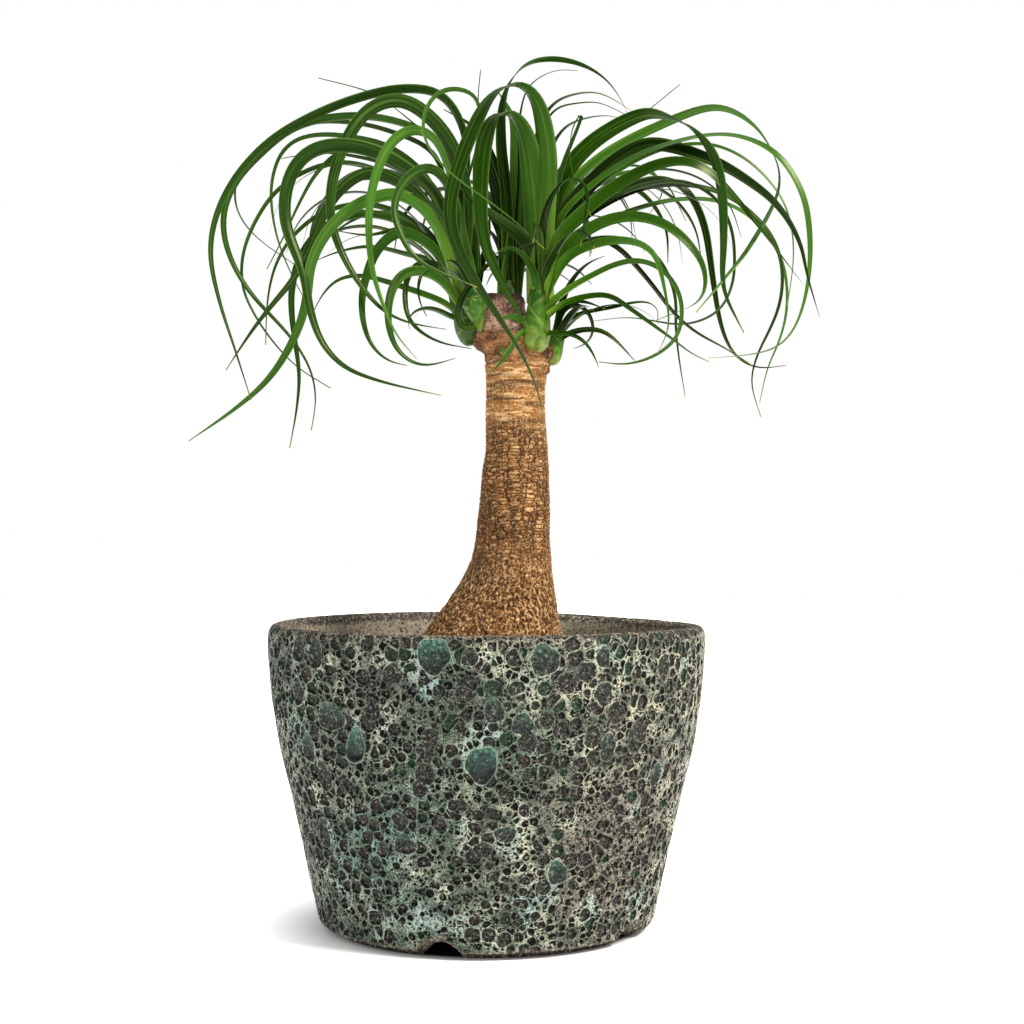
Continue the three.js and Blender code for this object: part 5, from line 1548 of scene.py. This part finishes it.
def shoot_finish():
    """Clasping leaf bases: firm and satin, brown where they leave the bark, then yellow-green and
    deeper green above, with a 5 mm mottle, and pale and papery at their edges."""
    material, tree, shader = finish_surface(
        "clasping_leaf_base", Roughness=0.4, Specular_IOR_Level=0.3
    )
    at = add(tree, "ShaderNodeTexCoord").outputs["Object"]
    rise, seam, tone = (
        add(tree, "ShaderNodeAttribute", attribute_name=name).outputs["Fac"]
        for name in ("rise", "seam", "tone")
    )
    mottle = {"Vector": at, "Scale": 190.0, "Detail": 3.0}
    mottle = add(tree, "ShaderNodeTexNoise", mottle).outputs[0]
    colour = coats(
        tree,
        "#7d6a38",
        [
            (rise, 0.0, 0.07, 1.0, "#7d9430"),
            (rise, 0.1, 0.4, 1.0, "#4f7d1c"),
            (rise, 0.4, 0.8, 1.0, "#2f620c"),
            (tone, 0.2, 1.0, 0.6, "#24540a"),
            # Painted shade: the shoots of the heads in deep shade are darker.
            (tone, 1.0, 1.3, 0.75, "#163b08"),
            (mottle, 0.52, 0.36, 0.6, "#23470c"),
            (mottle, 0.55, 0.75, 0.4, "#a9c25a"),
            (seam, 0.0, 1.0, 0.45, "#b9b374"),
        ],
    )
    tree.links.new(colour, shader.inputs["Base Color"])
    bump = add(tree, "ShaderNodeBump", {"Strength": 0.3, "Distance": 0.4 * MM, "Height": mottle})
    tree.links.new(bump.outputs[0], shader.inputs["Normal"])
    return material


shoot_paint = shoot_finish()
shoots = [*HEADS.items(), ("bud", BUD)]
for number, (head, (foot, neck, bulb_radius)) in enumerate(shoots):
    start, end = seen(*foot), seen(*neck)
    axis = (end - start) / np.linalg.norm(end - start)
    sideways = np.cross(axis, (0, 1, 0))
    sideways /= np.linalg.norm(sideways)
    depthways = np.cross(axis, sideways)
    share = np.linspace(0, 1.05, BASE_ROWS)[:, None]
    swell = np.interp(share, *np.asarray(POD_SWELL if head == "front" else BASE_SWELL).T)
    swell[1:-1] = (swell[:-2] + 2 * swell[1:-1] + swell[2:]) / 4
    around = np.linspace(0, 2 * math.pi, BASE_COLUMNS, endpoint=False)[None, :]
    layer = np.zeros((BASE_ROWS, BASE_COLUMNS))
    seam = np.zeros((BASE_ROWS, BASE_COLUMNS))
    tone = np.full((BASE_ROWS, BASE_COLUMNS), 0.9)
    # A sheath is tallest at its middle and its edge falls away to both sides, and each one that
    # follows ends lower.
    for k in range(SHEATHS):
        middle = math.radians(SHEATH_TURN * k + 77 * number + 250)
        off = np.abs(apart(around, middle)) / math.pi
        edge = 0.98 - 0.13 * k - 0.42 * off**1.6 - share
        on = np.clip(edge / 0.02, 0, 1)
        layer += SHEATH_STEP * on * on * (3 - 2 * on)
        seam = np.maximum(seam * (1 - on), np.exp(-(((edge - 0.006) / 0.009) ** 2)))
        tone = np.where(on > 0.5, draw(k + 9 * number + 0.4), tone)
    # A tone over 1 is that of a shoot painted dark as painted shade.
    tone = tone + (head in SHADED_SHOOTS)
    ring_size = (bulb_radius * swell + layer * swell - BASE_SUNK)[:, :, None]
    circle = np.cos(around)[:, :, None] * sideways + np.sin(around)[:, :, None] * depthways
    spots = start + axis * (share * np.linalg.norm(end - start))[:, :, None] + ring_size * circle
    spots = np.vstack([spots.reshape(-1, 3), start - axis * 0.5, start + (end - start) * 1.08])
    faces = [tuple(reversed(face)) for face in closed_faces(BASE_ROWS, BASE_COLUMNS)]
    shoot = new_mesh_object(f"shoot_{head}", spots, faces)
    store(shoot.data, "rise", np.append(np.repeat(share.ravel(), BASE_COLUMNS), [0, 1]))
    store(shoot.data, "seam", np.append(seam.ravel(), [0, 0]))
    store(shoot.data, "tone", np.append(tone.ravel(), [0, 0]))
    shoot.data.materials.append(shoot_paint)
    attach(shoot, "root")
    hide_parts("leaf_head_front" if head == "bud" else f"leaf_head_{head}")
